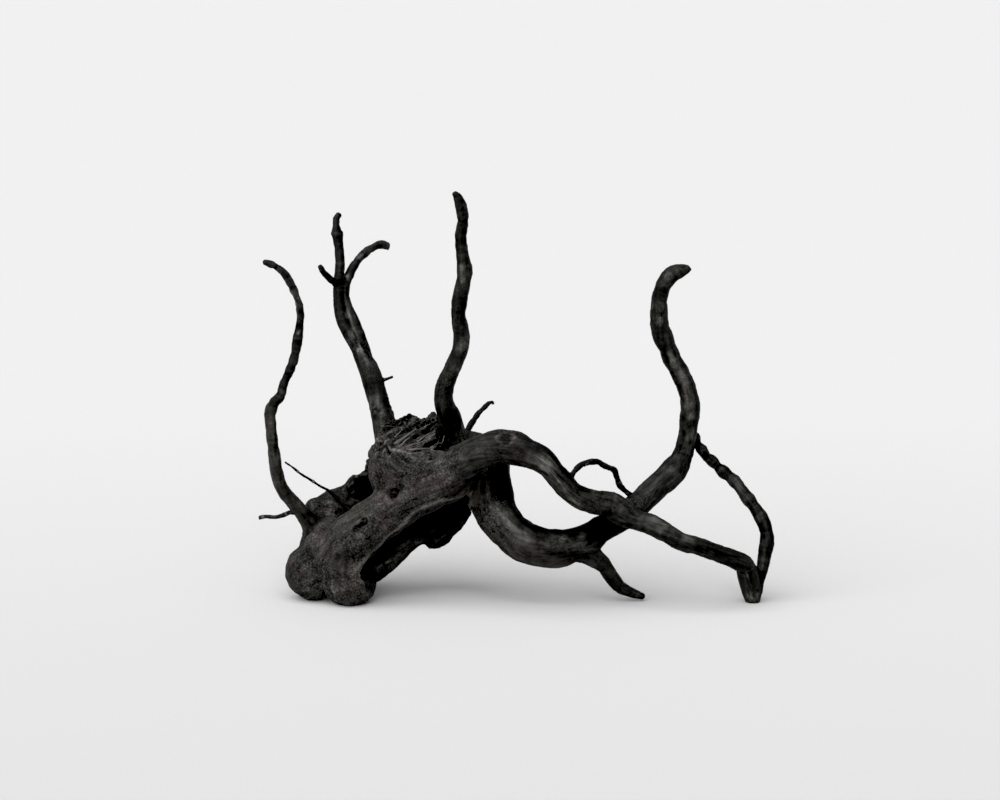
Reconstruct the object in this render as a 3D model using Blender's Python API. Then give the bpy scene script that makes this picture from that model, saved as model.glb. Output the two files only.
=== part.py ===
"""A charcoal-black driftwood root that grew as one piece.

A broken stump on swollen feet, roots that arch to the right, and bent shoots that stand up from it.
Run in Blender 4.5; metres, +Z up, seen from the front along +Y.
"""

import math
import random

import bmesh
import bpy
from mathutils import Euler, Matrix, Vector, noise

MM = 0.001
NODE = "driftwood_root"

# Fineness of the solid: the grain of each fusing, the rounds of smoothing after it, and the final skin
BODY_VOXEL = 1.3 * MM
SKIN_VOXEL = 0.9 * MM
BODY_SMOOTHING = 24
ROOT_SMOOTHING = 5
SKIN_SMOOTHING = 2
SKIN_TRIANGLES = 10300
MERGE_DISTANCE = 0.01 * MM

# Sides and steps of a limb, and of a rootlet, which has few
LIMB_ROUNDNESS = 6
LIMB_STEPS = 5
ROOTLET_ROUNDNESS = 1
ROOTLET_STEPS = 2

# Lumps that run over the grown wood, each as (size, strength) in millimetres
LUMPS = [(16, 2.8), (7, 1.2)]

# The wood's finish
WOOD_COLOUR = (0.022, 0.019, 0.017, 1.0)
WOOD_ROUGHNESS = 0.62

# The front of the root is at low y. Every route is a list of (x, y, z, thickness) in millimetres.

# The stump, the two legs that straddle the hollow under it, and the shoulder at its left
STUMP = [
    (-76, 30, 76, 48), (-75, 31, 94, 50), (-74, 36, 112, 47), (-73, 40, 134, 42),
]
FRONT_LEG = [
    (-50, 17, 94, 38), (-66, 14, 85, 42), (-79, 13, 75, 38), (-91, 11, 65, 34), (-104, 10, 56, 34),
    (-116, 10, 45, 38), (-123, 12, 31, 42),
]
REAR_LEG = [
    (-108, 40, 16, 25), (-97, 46, 25.5, 27), (-86, 52, 36, 29), (-72, 55, 48, 32), (-57, 54, 62, 37),
    (-48, 47, 78, 42), (-50, 42, 90, 42),
]
LEFT_SHOULDER = [
    (-86, 50, 88, 32), (-104, 56, 73, 26), (-120, 55, 64, 25), (-133, 52, 59, 26), (-138, 45, 48, 25),
    (-141.5, 33, 33, 26),
]
TORN_FLAKE = [
    (-32, 49, 60, 8), (-39, 52, 52, 11), (-48, 53, 43.5, 12.5), (-56, 53, 36, 13.5),
    (-64, 52, 31.5, 7),
]

# The roots that run to the right: one arches over in front, one dips behind it and turns up
ARCH = [
    (-56, 10, 92, 34), (-42, 3, 100, 29), (-28, -5, 110, 25), (-14, -11, 117, 23), (-1, -15, 117, 25),
    (8, -18, 114, 21.5), (19, -20, 109, 18.5), (30, -19, 96.5, 17), (42, -13, 83, 17),
    (54, -7, 77, 17.5), (63, -2, 75.5, 18), (69, 2, 71, 20), (76, 3, 66, 18.5), (86, 0, 62, 15),
    (95, -5, 61, 15), (105, -9, 56, 14), (115, -10, 49.5, 13.5), (128, -9, 46, 13.5),
    (142, -6, 40, 13.5), (155, -1, 33.5, 13), (162, 3, 30.5, 12.5), (166, 5, 29.5, 9),
]
LOW_ROOT = [
    (-62, 40, 94, 40), (-40, 46, 100, 36), (-25, 46, 96, 36), (-20.5, 38, 84, 36), (-17, 26, 71, 33),
    (-8, 15, 57, 29), (4, 9, 46.5, 29), (20, 6, 41.5, 28.5), (36, 8, 42, 26), (50, 12, 46, 23),
    (61, 15, 53, 19.5), (73, 19, 59, 19), (84, 26, 65, 19), (96, 33, 75, 19), (107, 38, 84, 19),
    (114, 41, 91, 18.5), (119.5, 43, 101, 14.5), (122, 42, 114, 13.5), (123.5, 40, 126, 14),
    (124, 37, 138, 14), (121.5, 33, 150, 14), (115, 28, 163.5, 14), (108, 23, 177.5, 14),
    (103, 18, 189, 13), (100, 15, 199, 13.5), (99, 12, 209, 12.8), (99.5, 9, 219, 12),
    (102.5, 7, 227.5, 12.2), (107, 6, 233.5, 12), (112.5, 5, 237, 10.5), (118.5, 4, 238.5, 8),
    (121.5, 4, 239, 5),
]
PRONG = [
    (40, 10, 41, 20), (49, 11, 38, 18), (57, 12, 32, 14.5), (62, 13, 28, 12), (66, 14, 22, 10.5),
    (70, 15, 16, 10.5), (74, 16, 11, 9.5), (80, 17, 7.5, 7.8), (88, 18, 4.2, 6), (92, 18, 2.8, 4.6),
]
RIGHT_LOOP = [
    (123, 44, 103, 8), (127, 47, 111, 6.5), (128.5, 47, 115, 4), (130.5, 50, 106.5, 6.4),
    (133.5, 51, 102.5, 8.6), (137, 52, 97.5, 7), (141, 53, 94.5, 9), (145, 54, 90, 7),
    (149.5, 54, 86, 9.4), (153.5, 53, 83, 8), (157, 51, 80, 9.6), (161, 48, 75.5, 8.2),
    (166.5, 43.5, 68.5, 10), (170, 40.5, 64, 8.6), (175, 35.5, 56.5, 10.6), (178, 31, 49, 9.4),
    (178.7, 27, 42, 10.6), (177, 23, 34.5, 9.8), (175, 19, 25, 9.4), (172.5, 17, 15.5, 8.4),
    (171, 16, 7, 8.6),
]
RIGHT_FOOT = [
    (161, 9, 29.5, 13), (164, 13, 21, 15.5), (166, 15, 13, 15), (167.5, 16, 6, 14), (168.5, 16, 0, 11),
    (169, 16, -3, 8),
]

# The upright shoots
LEFT_SHOOT = [
    (-139, 36, 42, 18), (-147.5, 27, 58, 12.5), (-156, 19, 71, 10.2), (-162.5, 13, 81, 9.4),
    (-166, 6, 94, 9), (-167.5, -2, 111, 8.6), (-168.5, -10, 129, 8), (-168.5, -14, 143, 8.2),
    (-165.5, -15, 149, 8), (-161.5, -14, 153, 7.4), (-159, -15, 162, 6.2), (-155.5, -16, 169, 6.6),
    (-150.5, -20, 184, 6.2), (-148, -23, 198, 6.6), (-146, -27, 212, 5.6), (-147.5, -31, 222, 5.8),
    (-151.5, -35, 233, 5.6), (-156, -39, 241.5, 5.6), (-162, -44, 247, 5.4), (-169, -48, 250.5, 4.2),
]
FORK_TRUNK = [
    (-76, 40, 84, 28), (-85, 52, 98, 25), (-91, 62, 110, 20), (-94, 67, 121, 17), (-98, 72, 134, 15),
    (-103, 77, 151, 15.5), (-108, 81, 162, 13.5), (-113.5, 84, 171, 10.5), (-119, 87, 180, 9.6),
    (-124.5, 89, 191, 9), (-127, 92, 204, 8), (-127, 94, 217, 7.6), (-126, 97, 232, 7.4),
    (-127, 100, 244, 7.4), (-128.2, 102, 252, 8.6), (-129, 103, 258, 5.4), (-128.7, 104, 263, 5),
    (-126, 105, 266.5, 4),
]
FORK_BRANCH = [
    (-104, 81, 152, 10), (-108, 85.5, 166.5, 9.8), (-112, 88.5, 178.8, 9.2), (-116.5, 91, 190.2, 8.4),
    (-121, 94, 201.2, 7), (-122.3, 97, 213.2, 6.4), (-119.8, 101, 222, 6.6), (-115.7, 104, 229.4, 6.6),
    (-109.5, 108, 236.2, 6.2), (-103, 113, 240.5, 6.2), (-97, 118, 242, 6), (-91.5, 122, 240, 5),
]
CENTRE_SHOOT = [
    (-48, 38, 90, 28), (-43, 40, 105, 24), (-44.5, 38, 118, 19.5), (-47, 35, 130, 16),
    (-50.5, 32, 143, 13.8), (-49.5, 30, 152, 13.4), (-45.7, 27, 162, 12.2), (-41, 25, 173, 11.6),
    (-38, 23, 182, 11.9), (-37.5, 21, 191, 11.8), (-39.7, 19, 204, 10.6), (-38.7, 18, 216, 11.2),
    (-36, 17, 228, 10.2), (-35, 16, 236, 11.2), (-36.7, 14, 248, 9), (-37.7, 12, 260, 8.4),
    (-36.2, 10, 271, 8.4), (-37, 8, 280, 8.3), (-39.8, 5, 288.5, 7.2), (-42.5, 4, 292, 4.8),
]

# Thin rootlets, too fine to be swollen into the wood they grow from
SHORT_TWIG = [
    (-40, 50, 106, 7), (-35, 56, 113.5, 4.8), (-31.5, 60, 119.5, 3.8), (-27, 65, 125.5, 3.2),
    (-22, 71, 130, 2.8), (-18, 76, 132, 2.4),
]
FORK_STUB = [
    (-126.5, 94, 213, 4.5), (-128.5, 92, 216.5, 5.4), (-133, 87, 221, 4.6), (-137, 83, 226, 4.2),
    (-139, 80, 229.5, 3.2),
]
FORK_SPUR = [
    (-101, 80, 146, 3), (-95, 77, 148.5, 2.4), (-89, 72, 152, 1.4),
]
ARC_ROOTLET = [
    (34, -17, 92, 4.8), (38.5, -12, 96.5, 4.4), (41, -9, 99.3, 3.2), (43.5, -6, 101.5, 4.2),
    (48, 0, 103, 3.4), (53, 5, 103.3, 4.4), (58, 9, 102.3, 3.4), (62, 12, 99.2, 4),
    (66.5, 15, 96.8, 3.2), (69.7, 17, 94.5, 4.2), (71.6, 19, 89, 3.2), (74, 23, 82.5, 4),
    (78, 26, 78, 3.2), (84, 29, 73, 3.8),
]
LEFT_ROOTLET = [
    (-146, 26, 60, 5.5), (-152, 21, 63.5, 4.2), (-158, 21, 63.8, 3), (-163, 25, 61, 2.6),
    (-170, 29, 58.5, 2.5), (-177, 33, 58, 2.4), (-181.5, 36, 56.5, 2.6),
]
FINE_ROOTLET = [
    (-162.5, 30, 98, 1.3), (-157, 32, 93.7, 1.4), (-151.5, 34, 88.5, 1.5), (-145, 36, 84, 1.5),
    (-138.5, 39, 79, 1.6), (-131.5, 42, 74, 2), (-124.5, 43, 66.5, 2.6), (-117.5, 43, 60, 3),
    (-110, 44, 53, 3),
]

# Swellings of the body, each as (centre, half sizes, turn in degrees about x, y and z), millimetres
SWELLINGS = [
    ((-73, 23, 92), (31, 26, 25), (0, 0, 0)),            # the heart of the stump
    ((-79, 15, 80), (19, 17, 21), (0, 0, 0)),            # its front, which runs down into the leg
    ((-80, 50, 74), (27, 16, 26), (0, 20, 0)),           # its back
    ((-108, 55, 50), (24, 9, 17), (0, 50, 0)),           # the web between the rear leg and the shoulder
    ((-142, 47, 60), (9, 9, 9), (0, 0, 0)),              # the shoulder's top, behind the left shoot
    ((-131, 28, 50), (13, 13, 9), (0, -20, 0)),          # the web between the left shoot and the front leg
    ((-52, 22, 91), (24, 22, 20), (0, 10, 0)),           # the saddle where the two right-hand roots part
    ((-116.5, 12.5, 18.2), (21, 19, 21.2), (0, 0, 0)),   # the right lobe of the foot
    ((-121, 9, 32), (21, 16, 21), (0, 30, 0)),           # the leg's swelling above it
    ((-143.5, 25, 20), (20, 19, 20.8), (0, -10, 0)),     # the left lobe
    ((-134, 22, 38), (16, 17, 16), (0, 0, 0)),           # the bridge above the cleft
    ((-128, 49, 16.2), (17, 15, 18.6), (0, 0, 0)),       # the hidden heel behind
    ((-115.5, 52, 78), (6, 6, 8), (0, 20, 0)),           # a knob on the shoulder
    ((-95, 36, 103), (10, 13, 8), (0, -20, 0)),          # a bulge on the stump's left
]

# The knot where the two roots have grown together
GRAFT = ((73, 7, 68), (12, 13, 9.8), (0, 35, 0))

# Hollows cut out of the wood, in the same form
HOLLOWS = [
    ((-100, 8, 26.5), (13, 18, 8), (0, -32, 0)),         # the rounded left end of the slot
    ((-95.5, 2, 15), (10.5, 14, 11), (0, 0, 12)),        # the scoop below it, in the lobe's right side
    ((-84, 30, 39), (24, 12, 11), (0, -36, 0)),          # the slot between the legs
    ((-56, 33, 58), (24, 17, 13), (0, -24, 0)),          # its deep part under the stump
    ((-107, 41, 76), (11, 14, 8), (0, -30, 0)),          # the void between stump and shoulder
    ((-117, 38, 70), (7, 8, 5), (0, -20, 0)),            # where it runs out over the leg
    ((-102, 36, 85), (6, 11, 8), (0, 0, 0)),             # where it runs up beside the stump
    ((-135.2, 15, 2), (2, 18, 10.5), (0, 6, 0)),         # the cleft between the two lobes
    ((-127, 36, 59), (3.4, 5, 2.2), (0, 14, 0)),         # the knot hole in the shoulder
    ((-84.5, -5, 81), (3, 5, 5.5), (0, 35, 0)),          # a pit on the stump
    ((-80, -4, 85.5), (2.2, 4, 4), (0, 50, 0)),          # its upper end
    ((-107, -9, 60), (6.5, 6, 2.6), (0, -40, 0)),        # a pit on the front leg
    ((-50, 22, 114), (11, 10, 14), (0, 0, 0)),           # the recess in the broken top
    ((-72, 30, 119), (15, 14, 6), (18, 0, 0)),           # the bowl of the broken top
]

# The broken top: a rough surface through this point, as many degrees down towards the front, and as far
# each way along x and y. The air above it is cut away up to the height of BREAK_TOP.
BREAK_POINT = (-77, 34, 116)
BREAK_SLOPE = 18.5
BREAK_REACH = (31, 37)
BREAK_TOP = 170
BREAK_CELLS = (40, 48)

# The torn surface is rougher across the grain, along x, than along it. Sizes are in millimetres.
BREAK_ROUGHNESS = 3.4
COARSE_TEAR = (10, 20)
FINE_TEAR = (3.6, 7.2)
FINE_SHARE = 0.6
FRONT_RIM = [
    (-97, 32, 112, 6), (-91, 21, 115, 6.5), (-86, 12, 112, 6.5), (-80, 8, 108, 6), (-72, 6, 105.5, 6),
    (-60, 6, 104.5, 6),
]
BACK_PEAK = [
    (-58, 52, 116, 9), (-58.5, 53, 124, 8), (-58, 53, 130, 3.5),
]

# Fibres that lie slantwise over the break, and splinters that stand up at its back rim: how many, over
# which stretch of x and of y, measured from the middle of the break, and their sizes in millimetres
FIBRES = 9
FIBRE_X = (-17, 17)
FIBRE_Y = (-20, 0)
FIBRE_LENGTH = (12, 24)
FIBRE_WIDTH = (2.6, 4.2)
SPLINTERS = 10
SPLINTER_X = (-14, 26)
SPLINTER_Y = (13, 23)
SPLINTER_HEIGHT = (0.5, 3.5)
SPLINTER_WIDTH = (4, 7)
SPLINTER_LEAN = 2.5
SPLINTER_TIP = 1.6
SPLINTER_DEPTH = 7

# Crumbs of half-rotten bark that stand out on the shoulder's rim, from the void up the stump's left side:
# how many, the rim's route, how far they stray from it, and their half thickness, in millimetres
CRUMBS = 34
CRUMB_RIM = [(-121, 46, 74), (-114, 48, 78), (-107, 50, 85), (-102, 48, 94), (-100, 40, 103)]
CRUMB_STRAY = 3
CRUMB_SIZE = (1.2, 2.8)

# The lobes of the left foot and the right foot are worn flat at z = 0, where it stands
FLOOR_BLOCK = (600, 400, 40)


def clear_scene():
    for thing in list(bpy.data.objects):
        bpy.data.objects.remove(thing)


def wood():
    """Near-black weathered wood with a faint sheen."""
    material = bpy.data.materials.new("charcoal_wood")
    material.use_nodes = True
    shader = material.node_tree.nodes["Principled BSDF"]
    shader.inputs["Base Color"].default_value = WOOD_COLOUR
    shader.inputs["Roughness"].default_value = WOOD_ROUGHNESS
    shader.inputs["Metallic"].default_value = 0.0
    return material


def new_object(name, mesh):
    thing = bpy.data.objects.new(name, mesh)
    bpy.context.scene.collection.objects.link(thing)
    return thing


def finished_mesh(thing):
    """A mesh of the object with its bevel or modifiers applied."""
    bpy.context.view_layer.update()
    graph = bpy.context.evaluated_depsgraph_get()
    return bpy.data.meshes.new_from_object(thing.evaluated_get(graph))


def bake(thing):
    """Replaces the object's mesh by what its modifiers make of it."""
    mesh = finished_mesh(thing)
    thing.modifiers.clear()
    thing.data = mesh


def limb(name, route, roundness=LIMB_ROUNDNESS, steps=LIMB_STEPS):
    """A round root through the route's points, each end closed."""
    curve = bpy.data.curves.new(name, "CURVE")
    curve.dimensions = "3D"
    curve.resolution_u = steps
    curve.bevel_depth = MM / 2
    curve.bevel_resolution = roundness
    curve.use_fill_caps = True
    spline = curve.splines.new("BEZIER")
    spline.radius_interpolation = "CARDINAL"
    spline.bezier_points.add(len(route) - 1)
    for point, (x, y, z, thickness) in zip(spline.bezier_points, route):
        point.co = Vector((x, y, z)) * MM
        point.radius = thickness
        point.handle_left_type = "AUTO"
        point.handle_right_type = "AUTO"
    guide = new_object(name, curve)
    mesh = finished_mesh(guide)
    bpy.data.objects.remove(guide)
    shape = bmesh.new()
    shape.from_mesh(mesh)
    bmesh.ops.remove_doubles(shape, verts=shape.verts, dist=MERGE_DISTANCE)
    bmesh.ops.recalc_face_normals(shape, faces=shape.faces)
    shape.to_mesh(mesh)
    shape.free()
    return new_object(name, mesh)


def egg(name, centre, half_sizes, turn, fineness=4):
    """An egg-shaped mass, for a swelling or a hollow."""
    place = Matrix.Translation(Vector(centre) * MM)
    place = place @ Euler([math.radians(angle) for angle in turn]).to_matrix().to_4x4()
    place = place @ Matrix.Diagonal(Vector([size * MM for size in half_sizes])).to_4x4()
    shape = bmesh.new()
    bmesh.ops.create_icosphere(shape, subdivisions=fineness, radius=1.0, matrix=place)
    mesh = bpy.data.meshes.new(name)
    shape.to_mesh(mesh)
    shape.free()
    return new_object(name, mesh)


def fuse(name, pieces, voxel, smoothing):
    """Grows overlapping pieces into one skin."""
    shape = bmesh.new()
    for piece in pieces:
        shape.from_mesh(piece.data)
        bpy.data.objects.remove(piece)
    mesh = bpy.data.meshes.new(name)
    shape.to_mesh(mesh)
    shape.free()
    body = new_object(name, mesh)
    remesh = body.modifiers.new("grow_together", "REMESH")
    remesh.mode = "VOXEL"
    remesh.voxel_size = voxel
    soften = body.modifiers.new("soften", "SMOOTH")
    soften.factor = 0.5
    soften.iterations = smoothing
    bake(body)
    return body


def boolean(body, pieces, operation, name):
    """Adds the pieces to the body or cuts them out of it, in one step."""
    group = bpy.data.collections.new(name)
    bpy.context.scene.collection.children.link(group)
    for piece in pieces:
        group.objects.link(piece)
    step = body.modifiers.new(name, "BOOLEAN")
    step.operation = operation
    step.operand_type = "COLLECTION"
    step.collection = group
    step.solver = "EXACT"
    bake(body)
    for piece in pieces:
        bpy.data.objects.remove(piece)
    bpy.data.collections.remove(group)


def swell(body, size, strength):
    """Lumps that run over the wood as it grew."""
    texture = bpy.data.textures.new("lumps", "CLOUDS")
    texture.noise_scale = size * MM
    texture.noise_depth = 1
    lumps = body.modifiers.new("lumps", "DISPLACE")
    lumps.texture = texture
    lumps.texture_coords = "LOCAL"
    lumps.strength = strength * MM
    lumps.mid_level = 0.5
    bake(body)


def break_height(x, y):
    """How far the torn surface stands above its mean plane, in millimetres."""
    coarse = noise.noise(Vector((x / COARSE_TEAR[0], y / COARSE_TEAR[1], 0.0)))
    fine = abs(noise.noise(Vector((x / FINE_TEAR[0], y / FINE_TEAR[1], 5.0))))
    return BREAK_ROUGHNESS * (coarse + FINE_SHARE * fine)


def on_break(x, y, above):
    """A point above the mean plane of the break, for a place measured from its middle."""
    turn = Matrix.Rotation(math.radians(BREAK_SLOPE), 3, "X")
    return Vector(BREAK_POINT) + turn @ Vector((x, y, above))


def break_block():
    """The block of air above the break: its rough underside is the torn surface."""
    shape = bmesh.new()
    bmesh.ops.create_grid(shape, x_segments=BREAK_CELLS[0], y_segments=BREAK_CELLS[1], size=1.0)
    for vert in shape.verts:
        x = vert.co.x * BREAK_REACH[0]
        y = vert.co.y * BREAK_REACH[1]
        vert.co = on_break(x, y, break_height(x, y)) * MM
    top = bmesh.ops.extrude_face_region(shape, geom=shape.faces[:])
    lifted = [piece for piece in top["geom"] if isinstance(piece, bmesh.types.BMVert)]
    for vert in lifted:
        vert.co.z = BREAK_TOP * MM
    bmesh.ops.recalc_face_normals(shape, faces=shape.faces)
    mesh = bpy.data.meshes.new("break")
    shape.to_mesh(mesh)
    shape.free()
    return new_object("break", mesh)


def along(stretch, index, count):
    """The place of one of several that are spread evenly over a stretch."""
    return stretch[0] + (stretch[1] - stretch[0]) * index / (count - 1)


def torn_wood():
    """The front rim of the break, the peak behind it, and the fibres and splinters on it."""
    draw = random.Random(7)
    pieces = [limb("front_rim", FRONT_RIM), limb("back_peak", BACK_PEAK)]
    for index in range(FIBRES):
        x = along(FIBRE_X, index, FIBRES) + draw.uniform(-2, 2)
        y = draw.uniform(*FIBRE_Y)
        reach = draw.uniform(*FIBRE_LENGTH)
        width = draw.uniform(*FIBRE_WIDTH)
        low = on_break(x, y, -1.5)
        middle = on_break(x + reach * 0.35, y + reach * 0.4, 0.5)
        high = on_break(x + reach * 0.7, y + reach * 0.75, -1)
        pieces.append(limb("fibre", [(*low, width), (*middle, width), (*high, width)]))
    for index in range(SPLINTERS):
        x = along(SPLINTER_X, index, SPLINTERS) + draw.uniform(-1.5, 1.5)
        y = draw.uniform(*SPLINTER_Y)
        height = draw.uniform(*SPLINTER_HEIGHT)
        width = draw.uniform(*SPLINTER_WIDTH)
        lean = draw.uniform(-SPLINTER_LEAN, SPLINTER_LEAN)
        low = on_break(x, y, -SPLINTER_DEPTH)
        middle = on_break(x + lean / 2, y, 0)
        high = on_break(x + lean, y, height)
        pieces.append(limb("splinter", [(*low, width), (*middle, width), (*high, SPLINTER_TIP)]))
    return pieces


def crumbled_bark():
    """Small lumps along the shoulder's rim."""
    draw = random.Random(3)
    crumbs = []
    for index in range(CRUMBS):
        place = index / CRUMBS * (len(CRUMB_RIM) - 1)
        stretch = int(place)
        centre = Vector(CRUMB_RIM[stretch]).lerp(Vector(CRUMB_RIM[stretch + 1]), place - stretch)
        centre += Vector([draw.uniform(-CRUMB_STRAY, CRUMB_STRAY) for _ in range(3)])
        half_sizes = [draw.uniform(*CRUMB_SIZE) for _ in range(3)]
        turn = [draw.uniform(0, 90) for _ in range(3)]
        crumbs.append(egg("crumb", centre, half_sizes, turn, fineness=2))
    return crumbs


def thin_out(body, triangles):
    """Fewer triangles, kept where the surface bends most."""
    body.data.calc_loop_triangles()
    step = body.modifiers.new("thin_out", "DECIMATE")
    step.ratio = triangles / len(body.data.loop_triangles)
    step.use_collapse_triangulate = True
    bake(body)


def floor_block():
    """All that lies below the surface it stands on."""
    shape = bmesh.new()
    size = Matrix.Diagonal(Vector(FLOOR_BLOCK) * MM).to_4x4()
    place = Matrix.Translation((0, 0, -FLOOR_BLOCK[2] / 2 * MM))
    bmesh.ops.create_cube(shape, size=1.0, matrix=place @ size)
    mesh = bpy.data.meshes.new("floor")
    shape.to_mesh(mesh)
    shape.free()
    return new_object("floor", mesh)


def box_of(mesh):
    """The lowest and highest corners of the mesh."""
    low = Vector([min(vert.co[axis] for vert in mesh.vertices) for axis in range(3)])
    high = Vector([max(vert.co[axis] for vert in mesh.vertices) for axis in range(3)])
    return low, high


clear_scene()

# The stump with its legs and shoulder
pieces = [limb("stump", STUMP)]
pieces.append(limb("front_leg", FRONT_LEG))
pieces.append(limb("rear_leg", REAR_LEG))
pieces.append(limb("left_shoulder", LEFT_SHOULDER))
pieces += [egg("swelling", *swelling) for swelling in SWELLINGS]
root = fuse(NODE, pieces, BODY_VOXEL, BODY_SMOOTHING)

# The two thick roots, and the torn flake under the stump
pieces = [root]
pieces.append(limb("low_root", LOW_ROOT))
pieces.append(limb("arch", ARCH))
pieces.append(limb("torn_flake", TORN_FLAKE))
pieces.append(egg("graft", *GRAFT))
root = fuse(NODE, pieces, BODY_VOXEL, ROOT_SMOOTHING)
for size, strength in LUMPS:
    swell(root, size, strength)

# The broken top, the slot under the stump and the pits
cutters = [break_block()]
cutters += [egg("hollow", *hollow) for hollow in HOLLOWS]
boolean(root, cutters, "DIFFERENCE", "tear_and_hollow")

# The slimmer limbs, the shoots, the torn wood and the crumbled bark
pieces = [root]
pieces.append(limb("prong", PRONG))
pieces.append(limb("right_loop", RIGHT_LOOP))
pieces.append(limb("right_foot", RIGHT_FOOT))
pieces.append(limb("left_shoot", LEFT_SHOOT))
pieces.append(limb("fork_trunk", FORK_TRUNK))
pieces.append(limb("fork_branch", FORK_BRANCH))
pieces.append(limb("centre_shoot", CENTRE_SHOOT))
pieces += torn_wood()
pieces += crumbled_bark()
root = fuse(NODE, pieces, SKIN_VOXEL, SKIN_SMOOTHING)
thin_out(root, SKIN_TRIANGLES)

# The rootlets
rootlets = []
for route in (SHORT_TWIG, FORK_STUB, FORK_SPUR, ARC_ROOTLET, LEFT_ROOTLET, FINE_ROOTLET):
    rootlets.append(limb("rootlet", route, ROOTLET_ROUNDNESS, ROOTLET_STEPS))
boolean(root, rootlets, "UNION", "rootlets")

# Worn flat where it stands, with the origin at the middle of its box, on the floor
boolean(root, [floor_block()], "DIFFERENCE", "stand")
low, high = box_of(root.data)
shift = Vector((-(low.x + high.x) / 2, -(low.y + high.y) / 2, -low.z))
root.data.transform(Matrix.Translation(shift))
root.data.materials.append(wood())
root.data.shade_smooth()
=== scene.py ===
"""The looks of a charcoal-black driftwood root, built around its solid.

+Z is up, the front is at low y, and the origin is on the floor at the middle of the root's box.
Sizes and places are in millimetres until they reach a mesh, which is in metres.
"""

import math

import bmesh
import bpy
import numpy as np
from mathutils import Matrix, Vector
from mathutils.bvhtree import BVHTree
from mathutils.kdtree import KDTree


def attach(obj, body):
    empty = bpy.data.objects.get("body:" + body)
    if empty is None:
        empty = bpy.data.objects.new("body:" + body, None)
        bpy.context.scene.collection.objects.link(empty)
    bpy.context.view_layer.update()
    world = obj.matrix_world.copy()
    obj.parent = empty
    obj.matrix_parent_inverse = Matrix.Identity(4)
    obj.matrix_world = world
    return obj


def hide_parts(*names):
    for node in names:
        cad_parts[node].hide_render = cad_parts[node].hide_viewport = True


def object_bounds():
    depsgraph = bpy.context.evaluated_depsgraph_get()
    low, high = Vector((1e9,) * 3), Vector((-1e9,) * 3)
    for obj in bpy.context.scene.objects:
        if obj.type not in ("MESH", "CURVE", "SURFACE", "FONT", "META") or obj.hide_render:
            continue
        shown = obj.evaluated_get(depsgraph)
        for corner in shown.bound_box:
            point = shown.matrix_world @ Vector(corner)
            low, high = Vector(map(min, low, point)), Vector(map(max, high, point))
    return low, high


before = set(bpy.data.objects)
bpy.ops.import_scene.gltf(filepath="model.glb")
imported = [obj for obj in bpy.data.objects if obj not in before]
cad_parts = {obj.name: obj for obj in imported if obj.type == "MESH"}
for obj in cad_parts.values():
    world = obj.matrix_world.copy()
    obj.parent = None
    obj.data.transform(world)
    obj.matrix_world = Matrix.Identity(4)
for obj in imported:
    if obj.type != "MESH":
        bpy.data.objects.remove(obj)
cad_low, cad_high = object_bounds()


# The root is one piece of dead wood: stump, feet, roots and shoots grew together, with nothing fixed to it.
# Its skin follows the solid's own surface, with a mesh fine enough to carry the grain, the torn top and
# the pits that years in water have worn. It stands for the whole solid.

MM = 0.001
ROOT_NODE = "driftwood_root"
SKIN_CELL = 0.72
SKIN_ROUNDS = 14
SKIN_PULLS = (0.5, -0.53)
SKIN_TRIANGLES = 186000
SAME_POINT = 0.002

scene = bpy.context.scene


def merged_copy(node):
    """A copy of a node's mesh whose loose triangles are joined at their corners."""
    shape = bmesh.new()
    shape.from_mesh(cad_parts[node].data)
    bmesh.ops.remove_doubles(shape, verts=shape.verts, dist=SAME_POINT * MM)
    mesh = bpy.data.meshes.new("solid_copy")
    shape.to_mesh(mesh)
    shape.free()
    return mesh


def with_modifier(mesh, kind, **settings):
    """The mesh after one modifier."""
    helper = bpy.data.objects.new("helper", mesh)
    scene.collection.objects.link(helper)
    modifier = helper.modifiers.new("step", kind)
    for name, value in settings.items():
        setattr(modifier, name, value)
    bpy.context.view_layer.update()
    graph = bpy.context.evaluated_depsgraph_get()
    made = bpy.data.meshes.new_from_object(helper.evaluated_get(graph))
    bpy.data.objects.remove(helper)
    return made


def points_of(mesh):
    """The mesh's points, in millimetres."""
    flat = np.empty(len(mesh.vertices) * 3, np.float32)
    mesh.vertices.foreach_get("co", flat)
    return flat.reshape(-1, 3).astype(np.float64) / MM


def move_points(mesh, points):
    """Moves the mesh's points to these places, given in millimetres."""
    mesh.vertices.foreach_set("co", (points * MM).astype(np.float32).ravel())
    mesh.update()


def normals_of(mesh):
    flat = np.empty(len(mesh.vertices) * 3, np.float32)
    mesh.vertices.foreach_get("normal", flat)
    return flat.reshape(-1, 3).astype(np.float64)


def edges_of(mesh):
    flat = np.empty(len(mesh.edges) * 2, np.int32)
    mesh.edges.foreach_get("vertices", flat)
    return flat.reshape(-1, 2)


def neighbour_mean(values, edges):
    """The mean over each point's neighbours, for a number or a row of numbers at each point."""
    first, second = edges.T
    count = len(values)
    degree = np.bincount(first, minlength=count) + np.bincount(second, minlength=count)
    columns = []
    for column in values.reshape(count, -1).T:
        total = np.bincount(first, column[second], count) + np.bincount(second, column[first], count)
        columns.append(total / degree)
    return np.array(columns).T.reshape(values.shape)


def spread(values, edges, rounds):
    """The values, evened out over the surface, where each round takes half from the points beside."""
    for _ in range(rounds):
        values = 0.5 * values + 0.5 * neighbour_mean(values, edges)
    return values


def round_off(points, edges, rounds):
    """Facets smoothed away. A push outwards follows each pull inwards, so slim limbs keep their girth."""
    for _ in range(rounds):
        for pull in SKIN_PULLS:
            points = points + pull * (neighbour_mean(points, edges) - points)
    return points


def smooth_step(values, low, high):
    """From 0 at the low value to 1 at the high one, eased at both ends."""
    part = np.clip((values - low) / (high - low), 0, 1)
    return part * part * (3 - 2 * part)


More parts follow.
